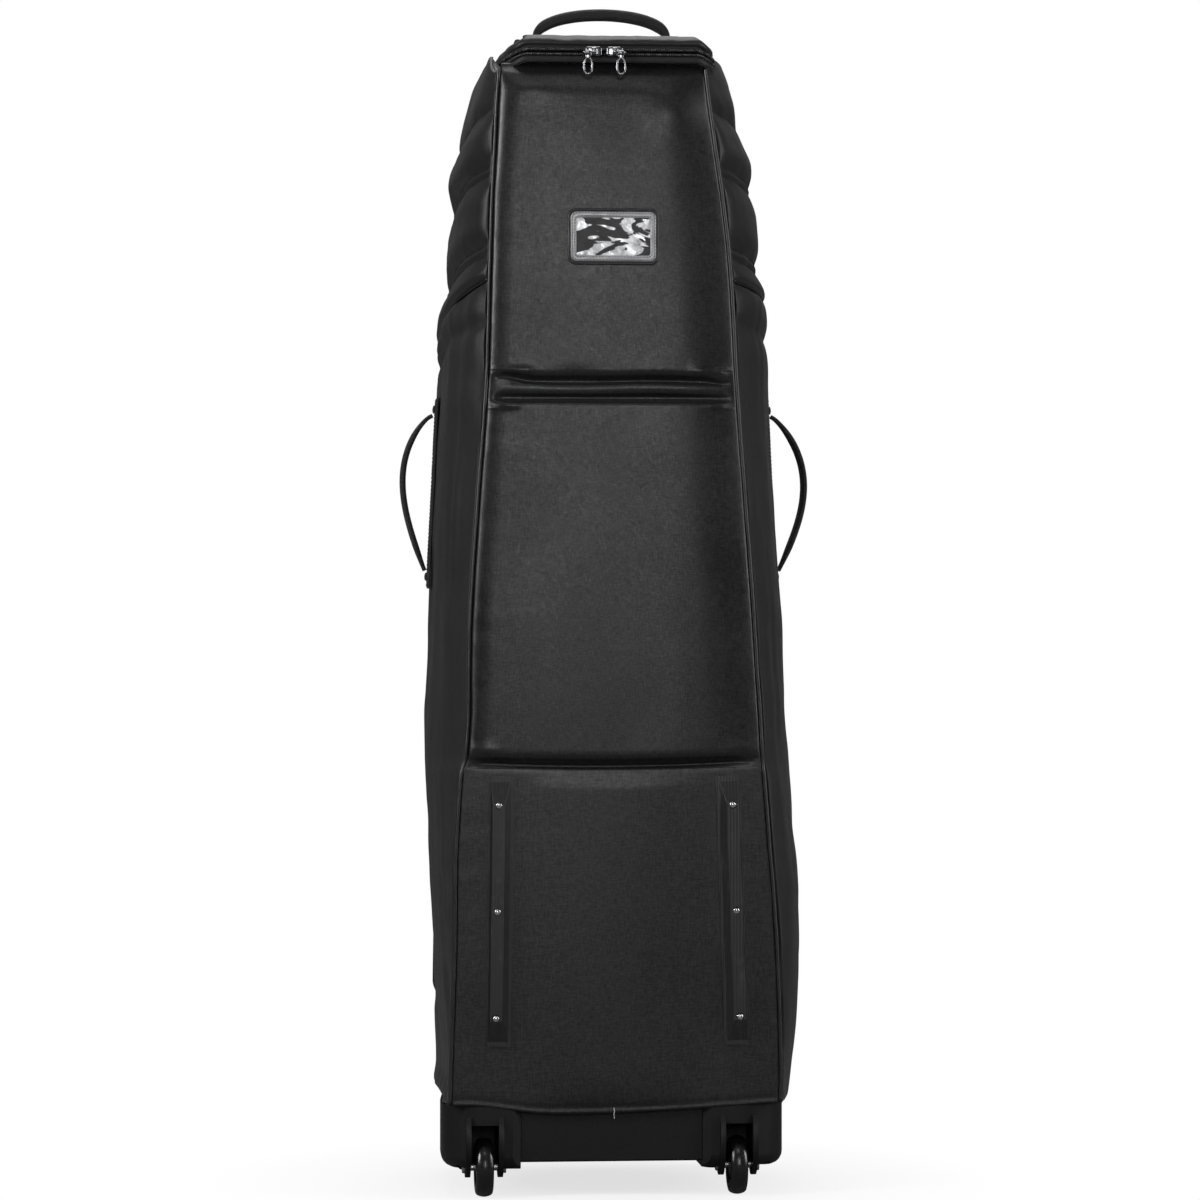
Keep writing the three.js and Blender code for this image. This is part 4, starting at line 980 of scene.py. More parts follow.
def quilted_pad(side, label, seed):
    share, depth = grid(np.linspace(0, 1, 210), SIDE_COLUMNS)
    foot = seam_z(depth, side) + 1.2
    top = pad_top(depth)
    z = foot + (top - foot) * share
    sloped = z + CHANNEL_SLOPE[side] * depth
    away = np.min([np.abs(sloped - line) for line in CHANNELS[side]], 0)
    ends = both_edges(depth, 14)
    channel = -4.8 + (8.3 - 3.2 * smooth((z - 1150 + 60 * depth) / 40)) * puff(away, 27)
    wrinkle = (1.3 * noise(depth * 10, sloped / 21.0, seed + 21)
               + 0.6 * noise(depth * 22, sloped / 12.0, seed + 22)) * (
                   0.35 + np.exp(-away / 9.0))
    slow = 1.4 * layered(depth * 3, z / 80.0, seed + 25, 2)
    height = ((channel + wrinkle + slow) * ends * edge(top - z, 5) * edge(z - foot, 10)
              - 4.5 * (1 - edge(z - foot, 10)) * ends - 0.6 * (1 - edge(top - z, 6)) * ends
              + trim(z, depth, side))
    skin("quilted_pad_%s_skin" % label, side_surface(side, z, depth, -height),
         side_surface(side, z, depth, 15.0 - 10.5 * smooth((z - 1205) / 16)), [QUILT, LINING],
         metres(depth * SIDE_DEPTH, z), "shell", "quilted_fabric", "quilted_pad_" + label)


def quilt_threads(side, label):
    for k, line in enumerate(CHANNELS[side]):
        depth = np.linspace(0.03, 0.97, 160)
        z = line - CHANNEL_SLOPE[side] * depth
        keep = (z > seam_z(depth, side) + 6) & (z < pad_top(depth) - 5)
        depth, z = depth[keep], z[keep]
        if len(depth) < 8:
            continue
        inset = -trim(z, depth, side) + 4.4 * both_edges(depth, 14) - 0.9
        normal = side_surface(side, z, depth, -5) - side_surface(side, z, depth, 0)
        stitches("quilt_thread_%s_%d" % (label, k), side_surface(side, z, depth, inset),
                 DARK_THREAD, "shell", QUILT_GAUGE, up=normal)


def side_piping(side, label, seed):
    """Piping along the seam between the two side pieces, then down the edge of the back."""
    depth = np.linspace(0.0, 1, 120)
    z = seam_z(depth, side)
    inset = 2.6 * edge(depth * SIDE_DEPTH, 14) - 0.2 - trim(z, depth, side)
    strand("side_seam_piping_" + label, side_surface(side, z, depth, inset), circle(1.55, 10),
           PIPING, "shell", "piping")
    z = stations(101.5, 1224.5, 5, ((LOW_CREASE, 26, 2), (876, 16, 2)))
    x = half_width(z) + stand_out(z, side) + 0.25 * noise(z / 22.0, 0.0, seed + 30)
    y = rear_y(z) + 1.2 + 1.1 * bell(z - LOW_CREASE, 7) + 0.2 * noise(z / 17.0, 0.0, seed + 31)
    strand("edge_piping_" + label, points(side * x, y, z), circle(2.15, 14), PIPING,
           "shell", "piping", "piping_" + label)


# ---------------------------------------------------------------- top
TOP_CENTRE = np.array([0, -19.0])
BODY_COIL_Z, FLAP_COIL_Z = 1238.7, 1243.7
# Right half of the top outline (x, y) before narrowing, either side of a rounded back corner
TOP_BACK = [(0, -147), (23, -147), (46, -147), (69, -147), (92, -147)]
TOP_FRONT = [(130, -85), (133, -50), (134, -15), (132.5, 25), (128, 62), (122, 84), (111, 99),
             (92, 106), (46, 108.5), (0, 109)]
TOP_CORNER, TOP_CORNER_RADIUS = (92, -112), 35
# Padded cap, from the underside up: offset outwards, height, share of the shoulder dip
CAP_PROFILE = [
    (-8.0, 1247.6, 1.0), (-5.2, 1247.2, 1.0), (-3.2, 1247.6, 1), (-1.6, 1248.9, 1),
    (-0.9, 1250.8, .98), (-1.3, 1253.0, .95), (-2.9, 1255.2, .9), (-5.6, 1257.2, .84),
    (-9.5, 1259.0, .76), (-14.5, 1260.6, .66)]
ZIP_HEIGHTS = np.array([1205, 1160, 1110, 1040, 960, 860, 700, 540, 380, 219])


def top_outline(inset):
    corner = [(TOP_CORNER[0] + TOP_CORNER_RADIUS * math.cos(math.radians(angle)),
               TOP_CORNER[1] + TOP_CORNER_RADIUS * math.sin(math.radians(angle)))
              for angle in (-70, -50, -30, -10)]
    half = spline([(x if x < 92 else 92 + (x - 92) * 0.64, y, 0)
                   for x, y in TOP_BACK + corner + TOP_FRONT])[:, :2]
    tangent = np.gradient(half, axis=0)
    tangent[0], tangent[-1] = (1, 0), (-1, 0)
    tangent = unit(tangent)
    return half + inset * points(-tangent[:, 1], tangent[:, 0])


def outline_to(inset, x, y):
    """Right half of the outline from the back to the point nearest (x, y)."""
    half = top_outline(inset)
    return half[:int(np.argmin(np.hypot(half[:, 0] - x, half[:, 1] - y))) + 1]


def both(half):
    mirror = half[1:][::-1].copy()
    mirror[:, 0] *= -1
    return np.concatenate([mirror, half])


def gusset_band():
    outer = both(outline_to(0, 128, 66))
    inner = both(outline_to(4.6, 124, 66))
    count = len(outer)
    new, old = np.linspace(0, 1, count), np.linspace(0, 1, len(inner))
    inner = np.stack([np.interp(new, old, inner[:, k]) for k in (0, 1)], 1)
    share = np.linspace(0, 1, 9)[:, None]
    away = unit(outer)
    bulge = 0.9 * np.sin(np.pi * share) + 0.15 * noise(np.arange(count)[None] / 5.0,
                                                       share * 2, 61)
    z = 1229.9 + dip(outer[:, 0])[None] * (1 - 0.25 * (1 - share)) + share * 6.4
    skin("gusset_band",
         points(outer[:, 0] + away[:, 0] * bulge * 0.4, outer[:, 1] + away[:, 1] * bulge, z),
         points(inner[:, 0], inner[:, 1], z), [SIDE_CLOTH, LINING],
         metres(run_length(outer), z), "shell", "side_fabric", "top_band")


def zip_coil(part, body, top_z, out_x, back_y, corner):
    """Coil round the top, over the corner points and down both sides of the front."""
    half = outline_to(1, 111, 99)
    path = points(half[:, 0], half[:, 1], top_z + dip(half[:, 0]))
    down = points(half_width(ZIP_HEIGHTS) + out_x, front_y(ZIP_HEIGHTS) + back_y, ZIP_HEIGHTS)
    tail = spline(np.concatenate([path[-1:], corner, down]), 6.0)[1:]
    pitch = 2.1
    path = resample(both(np.concatenate([path, tail])), pitch / 4.0)
    tooth = 1 + 0.16 * np.where(np.arange(len(path)) % 4 < 2, 1, -1)
    strand("zip_teeth_" + part, path, circle(1.75, 8), COIL, body, "zip_coil",
           "zip_coil_" + part, size=np.stack([tooth, tooth], 1))


def zip_tape(part, body, top_z, low, high):
    """Tape behind the coil round the top, from low to high about it."""
    line = both(outline_to(1, 126, 66))
    line = resample(np.column_stack([line, top_z + dip(line[:, 0])]), 6.0)
    away = unit(line[:, :2] - TOP_CENTRE)
    line[:, :2] -= away * 2.0
    share = np.linspace(0, 1, 5)[:, None]
    ripple = 0.25 * np.sin(np.arange(len(line)) / 2.3)[None] * np.sin(np.pi * share)
    outer = points(line[:, 0] + away[:, 0] * ripple, line[:, 1] + away[:, 1] * ripple,
                   line[:, 2] + low + (high - low) * share)
    inner = outer.copy()
    inner[..., :2] -= away[None] * 0.9
    skin("zip_tape_" + part, outer, inner, [SOFT_WEB], None, body, "webbing")


def shoulder(side, label):
    """Fabric from the top of a pad in to the foot of the gusset band."""
    depth = np.linspace(0, 1, 80)
    z = pad_top(depth) - 1.2
    start = side_surface(side, z, depth, 2.5 - trim(z, depth, side))
    y = start[:, 1]
    half = top_outline(0.4)
    half = half[(half[:, 0] > 80) & (np.gradient(half[:, 1]) > 0.02)]
    x = np.interp(y, half[:, 1], half[:, 0])
    outer = loft(start, points(side * x, y, 1234.6 + dip(x)), np.array([0, 0, -1.2]))
    skin("shoulder_" + label, outer, outer + np.array([-1.1 * side, 0, -0.9]),
         [QUILT, LINING], metres(y, 20 * np.linspace(0, 1, 9)[:, None]), "shell",
         "side_fabric")


def lower_corner(side, label):
    """Turned corner between the lower front panel and a side."""
    z = np.linspace(101.8, 211.4, 60)
    x, y = side_point(z, 0.985, 2.0 - trim(z, 0.985, side))
    front_x = half_width(z) - 3.0 - (side < 0) * corner_inset(z)
    outer = loft(points(side * x, y, z), points(side * front_x, front_y(z) - 3.2, z),
                 np.array([2.2 * side, 1.2, 0]))
    skin("lower_corner_" + label, outer, outer - np.array([1.0 * side, 0.6, 0]),
         [SIDE_CLOTH, LINING], metres(20 * np.linspace(0, 1, 9)[:, None], z), "shell",
         "side_fabric")


def front_zip_tape(side, label):
    """Tape from the edge of the front panel out to its coil."""
    z = np.linspace(219, 1222, 200)
    half = flap_half(z)
    start = points(side * (half - 2.0), front_y(z) - 3.6, z)
    end = points(side * (half_width(z) - 1.4), front_y(z) - 5.6, z)
    outer = loft(start, end, points(0, 0.35 * noise(z / 14.0, 0.0, 141 + side), 0), 7)
    skin("zip_tape_front_" + label, outer, outer - np.array([0, 1.0, 0]), [SOFT_WEB],
         metres(10 * np.linspace(0, 1, 7)[:, None], z), "flap", "webbing")
    stitches("zip_tape_thread_" + label, points(side * (half + 2.2), front_y(z) - 4.2, z),
             DARK_THREAD, "flap", ZIP_GAUGE, up=(0, 1, 0))


def top_cap():
    """Padded cap: the outline in rings, then rings shrinking towards the middle."""
    half = top_outline(0)
    outline = np.concatenate([half, (half[1:-1] * [-1, 1])[::-1]])
    tangent = unit(np.roll(outline, -1, 0) - np.roll(outline, 1, 0))
    normal = points(tangent[:, 1], -tangent[:, 0])
    drop = dip(outline[:, 0])
    length = run_length(outline)
    rings = []
    for k, (offset, z, share) in enumerate(CAP_PROFILE):
        ripple = min(1, k / 3.0) * (0.55 * noise(length / 16.0, k / 3.0, 71)
                                    + 0.35 * noise(length / 7.0, k / 3.0, 72))
        rings.append(np.column_stack([outline + normal * (offset + ripple * 0.8)[:, None],
                                      z + drop * share + ripple * 0.5]))
    last_offset, last_z, last_share = CAP_PROFILE[-1]
    last = outline + normal * last_offset
    for t in np.linspace(0.06, 0.98, 20):
        ring = TOP_CENTRE + (last - TOP_CENTRE) * (1 - t)
        z = (last_z + 4.2 * (1 - (1 - t) ** 2.2) + drop * last_share * (1 - t) ** 2.5
             + 0.55 * layered(ring[:, 0] / 42.0, ring[:, 1] / 42.0, 75, 2) * smooth(t * 3))
        rings.append(np.column_stack([ring, z]))
    rings = np.stack(rings)
    verts = np.concatenate([rings.reshape(-1, 3), [rings[0].mean(0) + [0, 0, 0.3]],
                            [rings[-1].mean(0)]])
    polys = outward(verts, tube_faces(*rings.shape[:2]))
    place(build("top_cap", verts, polys, [QUILT], verts[:, :2] * 0.001),
          "flap", "quilted_fabric", "top_pad")


# ---------------------------------------------------------------- handles
TOP_HANDLE_Y = -15
SIDE_HANDLE_Y = -5
PATCH_FOOT, PATCH_TOP, PATCH_HALF = 660, 872, 13
# Per side: how far the handle bows out, and the power that moves its crest
HANDLE_BOW = {-1: (29.5, 0.74), 1: (33.5, 0.80)}


def belly_x(z, side):
    return half_belly(z) + np.minimum(TRIM[side](z) * 0.9, 0)


def top_handle():
    angle = np.linspace(0, np.pi, 90)
    z = 1271 + (1304 - 6.4 - 1271) * np.sin(angle) ** 0.9
    size = np.stack([np.clip(4 + 0.42 * (z - 1272), 4, 13.2),
                     np.clip(3.4 + 0.2 * (z - 1272), 3.4, 5.9)], 1)
    path = points(-73 * np.cos(angle), TOP_HANDLE_Y + 0.3 * np.sin(angle * 5), z)
    strand("top_handle_strap", path, rounded_rect(1, 1, 0.55), WEB, "top_handle", "webbing",
           "top_handle", uv_scale=[13, 1], ref=(0, 1, 0), fixed=True, size=size)


def side_handle(side, label):
    top, foot = 852.0, 680.0
    t = np.linspace(0, 1, 90)
    bow, power = HANDLE_BOW[side]
    x = (half_belly(top) + (half_belly(foot) - half_belly(top)) * t + 5.4
         + np.minimum(TRIM[side](760) * 0.9, 0) + bow * np.sin(np.pi * t ** power) ** 0.95)
    size = np.stack([5 + 7.6 * smooth(np.sin(np.pi * t) * 1.6),
                     2.3 + 1.0 * smooth(np.sin(np.pi * t) * 2)], 1)
    path = points(side * x, SIDE_HANDLE_Y + 0.5 * np.sin(t * 6), top + (foot - top) * t)
    strand("side_handle_strap_" + label, path, rounded_rect(1, 1, 0.7), WEB,
           "side_handle_" + label, "webbing", "side_handle_" + label,
           uv_scale=[12, 1], ref=(0, 1, 0), fixed=True, size=size)


def side_patch(side, label):
    """Webbing laid along the side, stitched round its edge and boxed at both ends."""
    z, across = grid(np.linspace(PATCH_TOP, PATCH_FOOT, 110),
                     np.linspace(-PATCH_HALF, PATCH_HALF, 9))
    base = belly_x(z, side) + 0.6
    rim = np.minimum(PATCH_HALF - np.abs(across), np.minimum(PATCH_TOP - z, z - PATCH_FOOT))
    x = (base + 0.7 + 1.6 * edge(rim, 1.6) + 0.25 * noise(z / 12, across / 8, 81)
         - 0.35 * bell(rim - 2.8, 0.9))
    y = SIDE_HANDLE_Y + across
    skin("side_patch_" + label, points(side * x, y, z), points(side * (base - 1.2), y, z),
         [WEB], metres(across + PATCH_HALF, z), "shell", "webbing",
         "side_handle_patch_" + label)
    loop = resample(np.array([(0, -10.2, 869), (0, -10.2, 663), (0, 10.2, 663),
                              (0, 10.2, 869), (0, -10.2, 869)]), 4)
    _, across, z = loop.T
    stitches("side_patch_thread_" + label,
             points(side * (belly_x(z, side) + 2.55), SIDE_HANDLE_Y + across, z), THREAD,
             "shell", PATCH_GAUGE, up=(side, 0, 0))
    for k, (low, high) in enumerate(((855.5, 868), (664, 676.5))):
        z = np.array([low, high, high, low, low])
        across = np.array([-8.5, 8.5, 8.5, -8.5, -8.5])
        # two diagonals and the ends between them
        z[1:4] = high, low, high
        path = points(side * (belly_x(z, side) + 2.6), SIDE_HANDLE_Y + across, z)
        stitches("side_patch_box_%s_%d" % (label, k), resample(path, 3.5), THREAD, "shell",
                 BOX_GAUGE, up=(side, 0, 0))
    # turned-over ends that hold the handle
    for k, (low, high) in enumerate(((855, 862.5), (669.5, 677))):
        z = np.linspace(low, high, 10)
        x = belly_x(z, side) + 2.6 + 0.8 * np.sin(np.pi * (z - low) / (high - low))
        strand("side_patch_loop_%s_%d" % (label, k), points(side * x, SIDE_HANDLE_Y, z),
               rounded_rect(7.4, 2.0, 1.4), WEB, "shell", "webbing", ref=(0, 1, 0),
               fixed=True)


def top_handle_tab(side, label):
    """Tab under an end of the top handle, stitched in a crossed box."""
    x, across = grid(np.linspace(80, 97, 16), np.linspace(-11.5, 11.5, 16))
    rim = np.minimum(np.minimum(97 - x, x - 79.9), 11.6 - np.abs(across))
    z = 1266.8 + 1.7 * edge(rim + 0.2, 1.5) - 0.4 * bell(rim - 2.4, 0.8)
    y = TOP_HANDLE_Y + across
    skin("top_handle_patch_" + label, points(side * x, y, z), points(side * x, y, 1262.5),
         [WEB], metres(across, x), "flap", "webbing", "top_handle_tab_" + label)
    box = np.array([(82.5, -9), (94.5, -9), (94.5, 9), (82.5, 9), (82.5, -9), (94.5, 9),
                    (94.5, -9), (82.5, 9)])
    path = points(side * box[:, 0], TOP_HANDLE_Y + box[:, 1], 1268.4)
    stitches("top_handle_patch_thread_" + label, resample(path, 3), THREAD, "flap",
             TAB_GAUGE, up=(0, 0, 1))
    x = np.linspace(79.9, 86.3, 10)
    path = points(side * x, TOP_HANDLE_Y, 1270.6 + 1.0 * np.sin(np.pi * (x - 79.9) / 6.4))
    strand("top_handle_loop_" + label, path, rounded_rect(5.4, 3.2, 1.8), WEB, "flap",
           "webbing", ref=(0, 1, 0), fixed=True)


# ---------------------------------------------------------------- luggage tag pocket
TAG_Z = 1040.0
TAG_OUT = 3.1       # the whole tag is moved this far out from the y values below
# Closed sections round the tag: half x, half z, corner radius, y
TAG_BORDER = [(49.4, 30.6, 9, -155.5), (49.4, 30.6, 9, -158.3), (48.9, 30.1, 8.6, -159.0),
              (47.8, 29.0, 8, -159.25), (46.4, 27.6, 7, -158.9), (45.2, 26.4, 6, -158.0),
              (45.0, 26.2, 6, -155.5)]
TAG_FRAME = [(46.4, 26.8, 6.4, -157.0), (46.4, 26.8, 6.4, -158.7), (45.7, 26.1, 6, -159.35),
             (43.0, 23.4, 4.5, -159.75), (41.4, 21.8, 3.5, -159.6), (40.2, 20.4, 2.5, -159.0),
             (40.0, 20.2, 2.4, -157.0)]
# Rows of stitching: half x, half z, corner radius, y, thread
TAG_THREADS = [(45.1, 25.5, 5.6, -159.5, DARK_THREAD), (41.9, 22.2, 3.9, -159.78, DARK_THREAD),
               (48.2, 29.4, 8.2, -159.2, THREAD)]


def tag_line(half_x, half_z, radius, y):
    outline = rounded_rect(half_x, half_z, radius, 8)
    outline = np.concatenate([outline, outline[:1]])
    return points(outline[:, 0], y - TAG_OUT, outline[:, 1] + TAG_Z)


def tag_ring(name, profile, mat, wobble, seed, *replaced):
    count = 200
    lines = []
    for half_x, half_z, radius, y in profile:
        outline = tag_line(half_x, half_z, radius, y)
        length = run_length(outline)
        where = np.linspace(0, length[-1], count + 1)[:-1]
        line = np.stack([np.interp(where, length, outline[:, k]) for k in range(3)], 1)
        if y < -157.5:
            line[:, 1] -= wobble * noise(np.arange(count) / 6.0, len(lines) / 2.0, seed)
        lines.append(line)
    verts = np.concatenate(lines)
    polys = outward(verts, tube_faces(len(profile), count, closed=True))
    place(build(name, verts, polys, [mat], verts[:, [0, 2]] * 0.001), "shell", "vinyl",
          *replaced)


def luggage_tag():
    x, z = grid(np.linspace(-46, 46, 60), np.linspace(-28, 28, 40))
    skin("tag_backing",
         points(x, -157.7 - TAG_OUT + 0.25 * layered(x / 20, z / 20, 90), z + TAG_Z),
         points(x, -155.5 - TAG_OUT, z + TAG_Z), [CARD], None, "shell", "vinyl")
    tag_ring("tag_border", TAG_BORDER, PIPING, 0.15, 3)
    tag_ring("tag_vinyl_frame", TAG_FRAME, VINYL, 0.35, 4, "tag_frame")
    x, z = grid(np.linspace(-41, 41, 130), np.linspace(-21.2, 21.2, 72))
    rise = edge(np.minimum(41 - np.abs(x), 21.2 - np.abs(z)), 5)
    folds = ((1 - np.abs(noise((x + z * 1.1) / 24.0, (x * 0.4 - z) / 42.0, 92))) ** 2 * 1.5
             + (1 - np.abs(noise((x - z * 0.6) / 30.0, (x + z) / 22.0, 95))) ** 3 * 0.7
             + 0.9 * noise(x / 34, z / 25, 94))
    y = -158.4 - TAG_OUT - rise * (0.15 + 0.62 * folds)
    skin("tag_clear_film", points(x, y, z + TAG_Z), points(x, y + 0.22, z + TAG_Z), [FILM],
         None, "shell", "clear_window", "tag_window")
    for k, (*line, mat) in enumerate(TAG_THREADS):
        stitches("tag_thread_%d" % k, tag_line(*line), mat, "shell", TAG_GAUGE)


# ---------------------------------------------------------------- rails, base and wheels
RAIL_X = {-1: 121.6, 1: 130.2}
RAIL_ANGLE = {-1: 0.8, 1: 2.0}      # degrees
RAIL_Z = 310.5
CAD_RAIL_X, CAD_RAIL_ANGLE = 127.9, 1.1
RIVET_PITCH = 115.0
WHEEL_X, WHEEL_Y, WHEEL_Z = 138.2, -128.0, 32.0
# Half sections of a wheel: radius, distance from its middle plane
TYRE_SECTION = [(20.6, 8.3), (21.4, 9.0), (26.5, 9.5), (28.6, 9.0), (30.1, 7.5), (31.2, 5.1),
                (31.75, 2.5)]
HUB_SECTION = [(11.15, 7.3), (12.0, 8.1), (13.6, 8.1), (14.2, 6.5), (17.4, 6.5), (18.0, 8.3),
               (20.1, 8.3)]
# Rivet: radius, distance in from the crown of its head
RIVET_HEAD = [(0.0, -0.55), (1.3, -0.42), (2.5, -0.02), (3.4, 0.62), (3.75, 1.35), (3.6, 1.8),
              (1.9, 1.9)]
# Rivet shank and inner washer: radius, y
RIVET_SHANK = [(1.9, -140.2), (4.6, -140.2), (4.6, -139.3), (4.1, -138.9), (0, -138.9)]


def skid_rail(side, label):
    turn = math.radians(RAIL_ANGLE[side] - CAD_RAIL_ANGLE)

    def move(coords):
        coords = coords.copy()
        x, z = side * coords[:, 0] - CAD_RAIL_X, coords[:, 2] - RAIL_Z
        coords[:, 0] = side * (RAIL_X[side] + x * math.cos(turn) - z * math.sin(turn))
        coords[:, 2] = RAIL_Z + x * math.sin(turn) + z * math.cos(turn)
        return coords
    reshaped("skid_rail_" + label, "rail_" + label, move, RAIL, "rail_plastic", 0.0014, 20)


def rivets(side, label):
    angle = math.radians(RAIL_ANGLE[side])
    profile = [(radius, -161.4 + along) for radius, along in RIVET_HEAD] + RIVET_SHANK
    for k, where in ((1, "top"), (0, "middle"), (-1, "low")):
        along, out = k * RIVET_PITCH, 3.8
        x = side * (RAIL_X[side] + out * math.cos(angle) - along * math.sin(angle))
        z = RAIL_Z + out * math.sin(angle) + along * math.cos(angle)
        name = "%s_%s" % (label, where)
        place(turned("rivet_" + name, profile, 1, (x, 0, z), 40, RIVET), "shell", "steel",
              "rail_rivet_" + name)


def base_move(coords):
    """Narrows the base towards the front and draws its two outer edges."""
    coords = coords.copy()
    x, y = coords[:, 0].copy(), coords[:, 1]
    coords[:, 0] = (x * (1 - 0.055 * smooth((y + 72) / 190))
                    + 3.0 * smooth((x - 158) / 24) * (1 - smooth((y + 100) / 60))
                    + (4.0 + 5.0 * smooth((y + 110) / 150)) * smooth((-x - 158) / 20))
    return coords


def base():
    reshaped("base_tray", "base_moulding", base_move, BASE, "base_plastic", 0.0010)
    for label in ("left", "right"):
        reshaped("wheel_housing_" + label, "corner_moulding_" + label, base_move, HOUSING,
                 "base_plastic", 0.0012)
    for label in ("left", "right"):
        soften(NODES["foot_" + label], FOOT, 0.0008)
        soften(NODES["axle_" + label], STEEL, 0.0004, segments=2)
        soften(NODES["bearing_" + label], STEEL, 0.0003, segments=2)


def mirrored(half, middle=()):
    section = [(radius, -along) for radius, along in half] + list(middle) + half[::-1]
    return section + section[:1]


def wheel(side, label):
    centre = (side * WHEEL_X, WHEEL_Y, WHEEL_Z)
    section = mirrored(TYRE_SECTION, [(32.0, 0)])
    fine = []
    for start, end in zip(section[:-1], section[1:]):
        fine += [tuple(np.array(start) + (np.array(end) - start) * t)
                 for t in np.linspace(0, 1, 4)[:-1]]
    fine.append(section[0])
    place(turned("wheel_tyre_" + label, fine, 0, centre, 128, TYRE), "wheel_" + label, "tyre",
          "tyre_" + label)
    hub = turned("wheel_hub_" + label, mirrored(HUB_SECTION), 0, centre, 96, HUB)
    hub.data.shade_smooth()
    add_bevel(hub, 0.0003, angle=35, segments=2)
    place(hub, "wheel_" + label, "hub_plastic", "hub_" + label)


# ---------------------------------------------------------------- front
FLAP_FOOT, FLAP_TOP = 216, 1245.5
FLAP_SEAMS = (860, 1040)
POCKET_FOOT, POCKET_TOP, POCKET_HALF = 300.5, 829.5, 103.6
POCKET_ZIP_Z = 778.0
LOWER_TOP = 211.6
FOLD_Z = 213.5
FRONT_COLUMNS = bunched(110, 1.3)


def flap_panel():
    z, share = grid(stations(216.0, FLAP_TOP, 6.0), FRONT_COLUMNS)
    half = flap_half(z)
    x = share * half
    rim = np.minimum(half - np.abs(x), np.minimum(FLAP_TOP - z, z - FLAP_FOOT))
    under_pocket = (np.abs(x) < 108) & (z > 294) & (z < 836)
    height = (edge(rim, 12) * (2.6 + 2.4 * layered(x / 95.0, z / 130.0, 111))
              * np.where(under_pocket, 0.0, 1) - 2.4 * (1 - edge(rim, 8))
              + np.where(under_pocket, -0.2, 0))
    for seam in FLAP_SEAMS:
        height -= 2.2 * bell(z - seam, 3.0) * edge(half - np.abs(x), 10) * ~under_pocket
    y = front_y(z) + np.clip(height, -3, 6) * edge(rim + 0.5, 3)
    skin("flap_panel_skin", points(x, y, z), points(x, front_y(z) - 6.6, z),
         [SIDE_CLOTH, LINING], metres(x, z), "flap", "side_fabric", "front_panel")
    for k, seam in enumerate(FLAP_SEAMS):
        reach = half_width(seam) - 22
        path = points(np.linspace(-reach, reach, 60), front_y(seam) + 0.8, seam)
        stitches("flap_thread_%d" % k, path, DARK_THREAD, "flap", QUILT_GAUGE, up=(0, 1, 0))


def front_pocket():
    rows = 0.5 - 0.5 * np.cos(np.pi * np.linspace(0, 1, 150))
    cols = np.sin(np.linspace(-1, 1, 80) * np.pi / 2)
    row, share = grid(rows, cols)
    z = POCKET_FOOT + (POCKET_TOP - POCKET_FOOT) * row
    half = np.minimum(POCKET_HALF, half_width(z) - 26)
    x = share * half
    inside_x = half - np.abs(x)
    inside_z = np.minimum(z - POCKET_FOOT, POCKET_TOP - z)
    body = edge(inside_x, 15) * edge(inside_z, 15)
    base_y = front_y(z) + 0.6
    y = (base_y + 3.0 * edge(np.minimum(inside_x, inside_z) + 0.2, 3)
         + body * (12.2 + 1.6 * layered(x / 60.0, z / 80.0, 121))
         - 3.4 * bell(z - POCKET_ZIP_Z, 4.2) * body)
    skin("front_pocket_skin", points(x, y, z), points(x, base_y, z), [SIDE_CLOTH, LINING],
         metres(x, z), "flap", "side_fabric", "front_pocket")
    strand("pocket_zip", points(np.linspace(-86, 86, 100), 156.6, POCKET_ZIP_Z),
           circle(2.2, 10), COIL, "flap", "zip_coil")
    loop = resample([(-98, 0, 308), (98, 0, 308), (98, 0, 822), (-98, 0, 822),
                     (-98, 0, 308)], 4)
    inside = np.minimum(POCKET_HALF - np.abs(loop[:, 0]),
                        np.minimum(loop[:, 2] - POCKET_FOOT, POCKET_TOP - loop[:, 2]))
    loop[:, 1] = 146.8 + edge(inside, 15) * 12.0
    stitches("pocket_thread", loop, DARK_THREAD, "flap", POCKET_GAUGE, up=(0, 1, 0))


def front_lower_panel():
    z, share = grid(stations(BODY_FOOT, LOWER_TOP, 4.0), FRONT_COLUMNS)
    half = half_width(z) + 0.8
    x = share * (half - corner_inset(z) * (share < 0))
    rim = np.minimum(half - np.abs(x), np.minimum(LOWER_TOP - z, z - BODY_FOOT))
    y = (front_y(z) + (edge(rim, 12) - 0.75) * 2.2 * edge(rim + .5, 3)
         + 0.7 * layered(x / 60, z / 60, 131) * edge(rim, 12))
    skin("front_lower_skin", points(x, y, z), points(x, front_y(z) - 6.6, z),
         [SIDE_CLOTH, LINING], metres(x, z), "shell", "side_fabric", "front_lower_panel")


def fold_strip():
    """Strip of fabric across the fold between the lower panel and the flap."""
    z, x = grid(np.linspace(203.0, 224.0, 22), np.linspace(-160, 160, 90))
    y = (front_y(z) + 1.6 + 0.5 * np.sin(x / 9.0) * bell(z - FOLD_Z, 5)
         - 1.8 * bell(z - FOLD_Z, 3))
    strip = sheet("fold_strip", points(x, y + 0.9, z), points(x, y, z), [SIDE_CLOTH],
                  metres(x, z))
    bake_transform(strip)


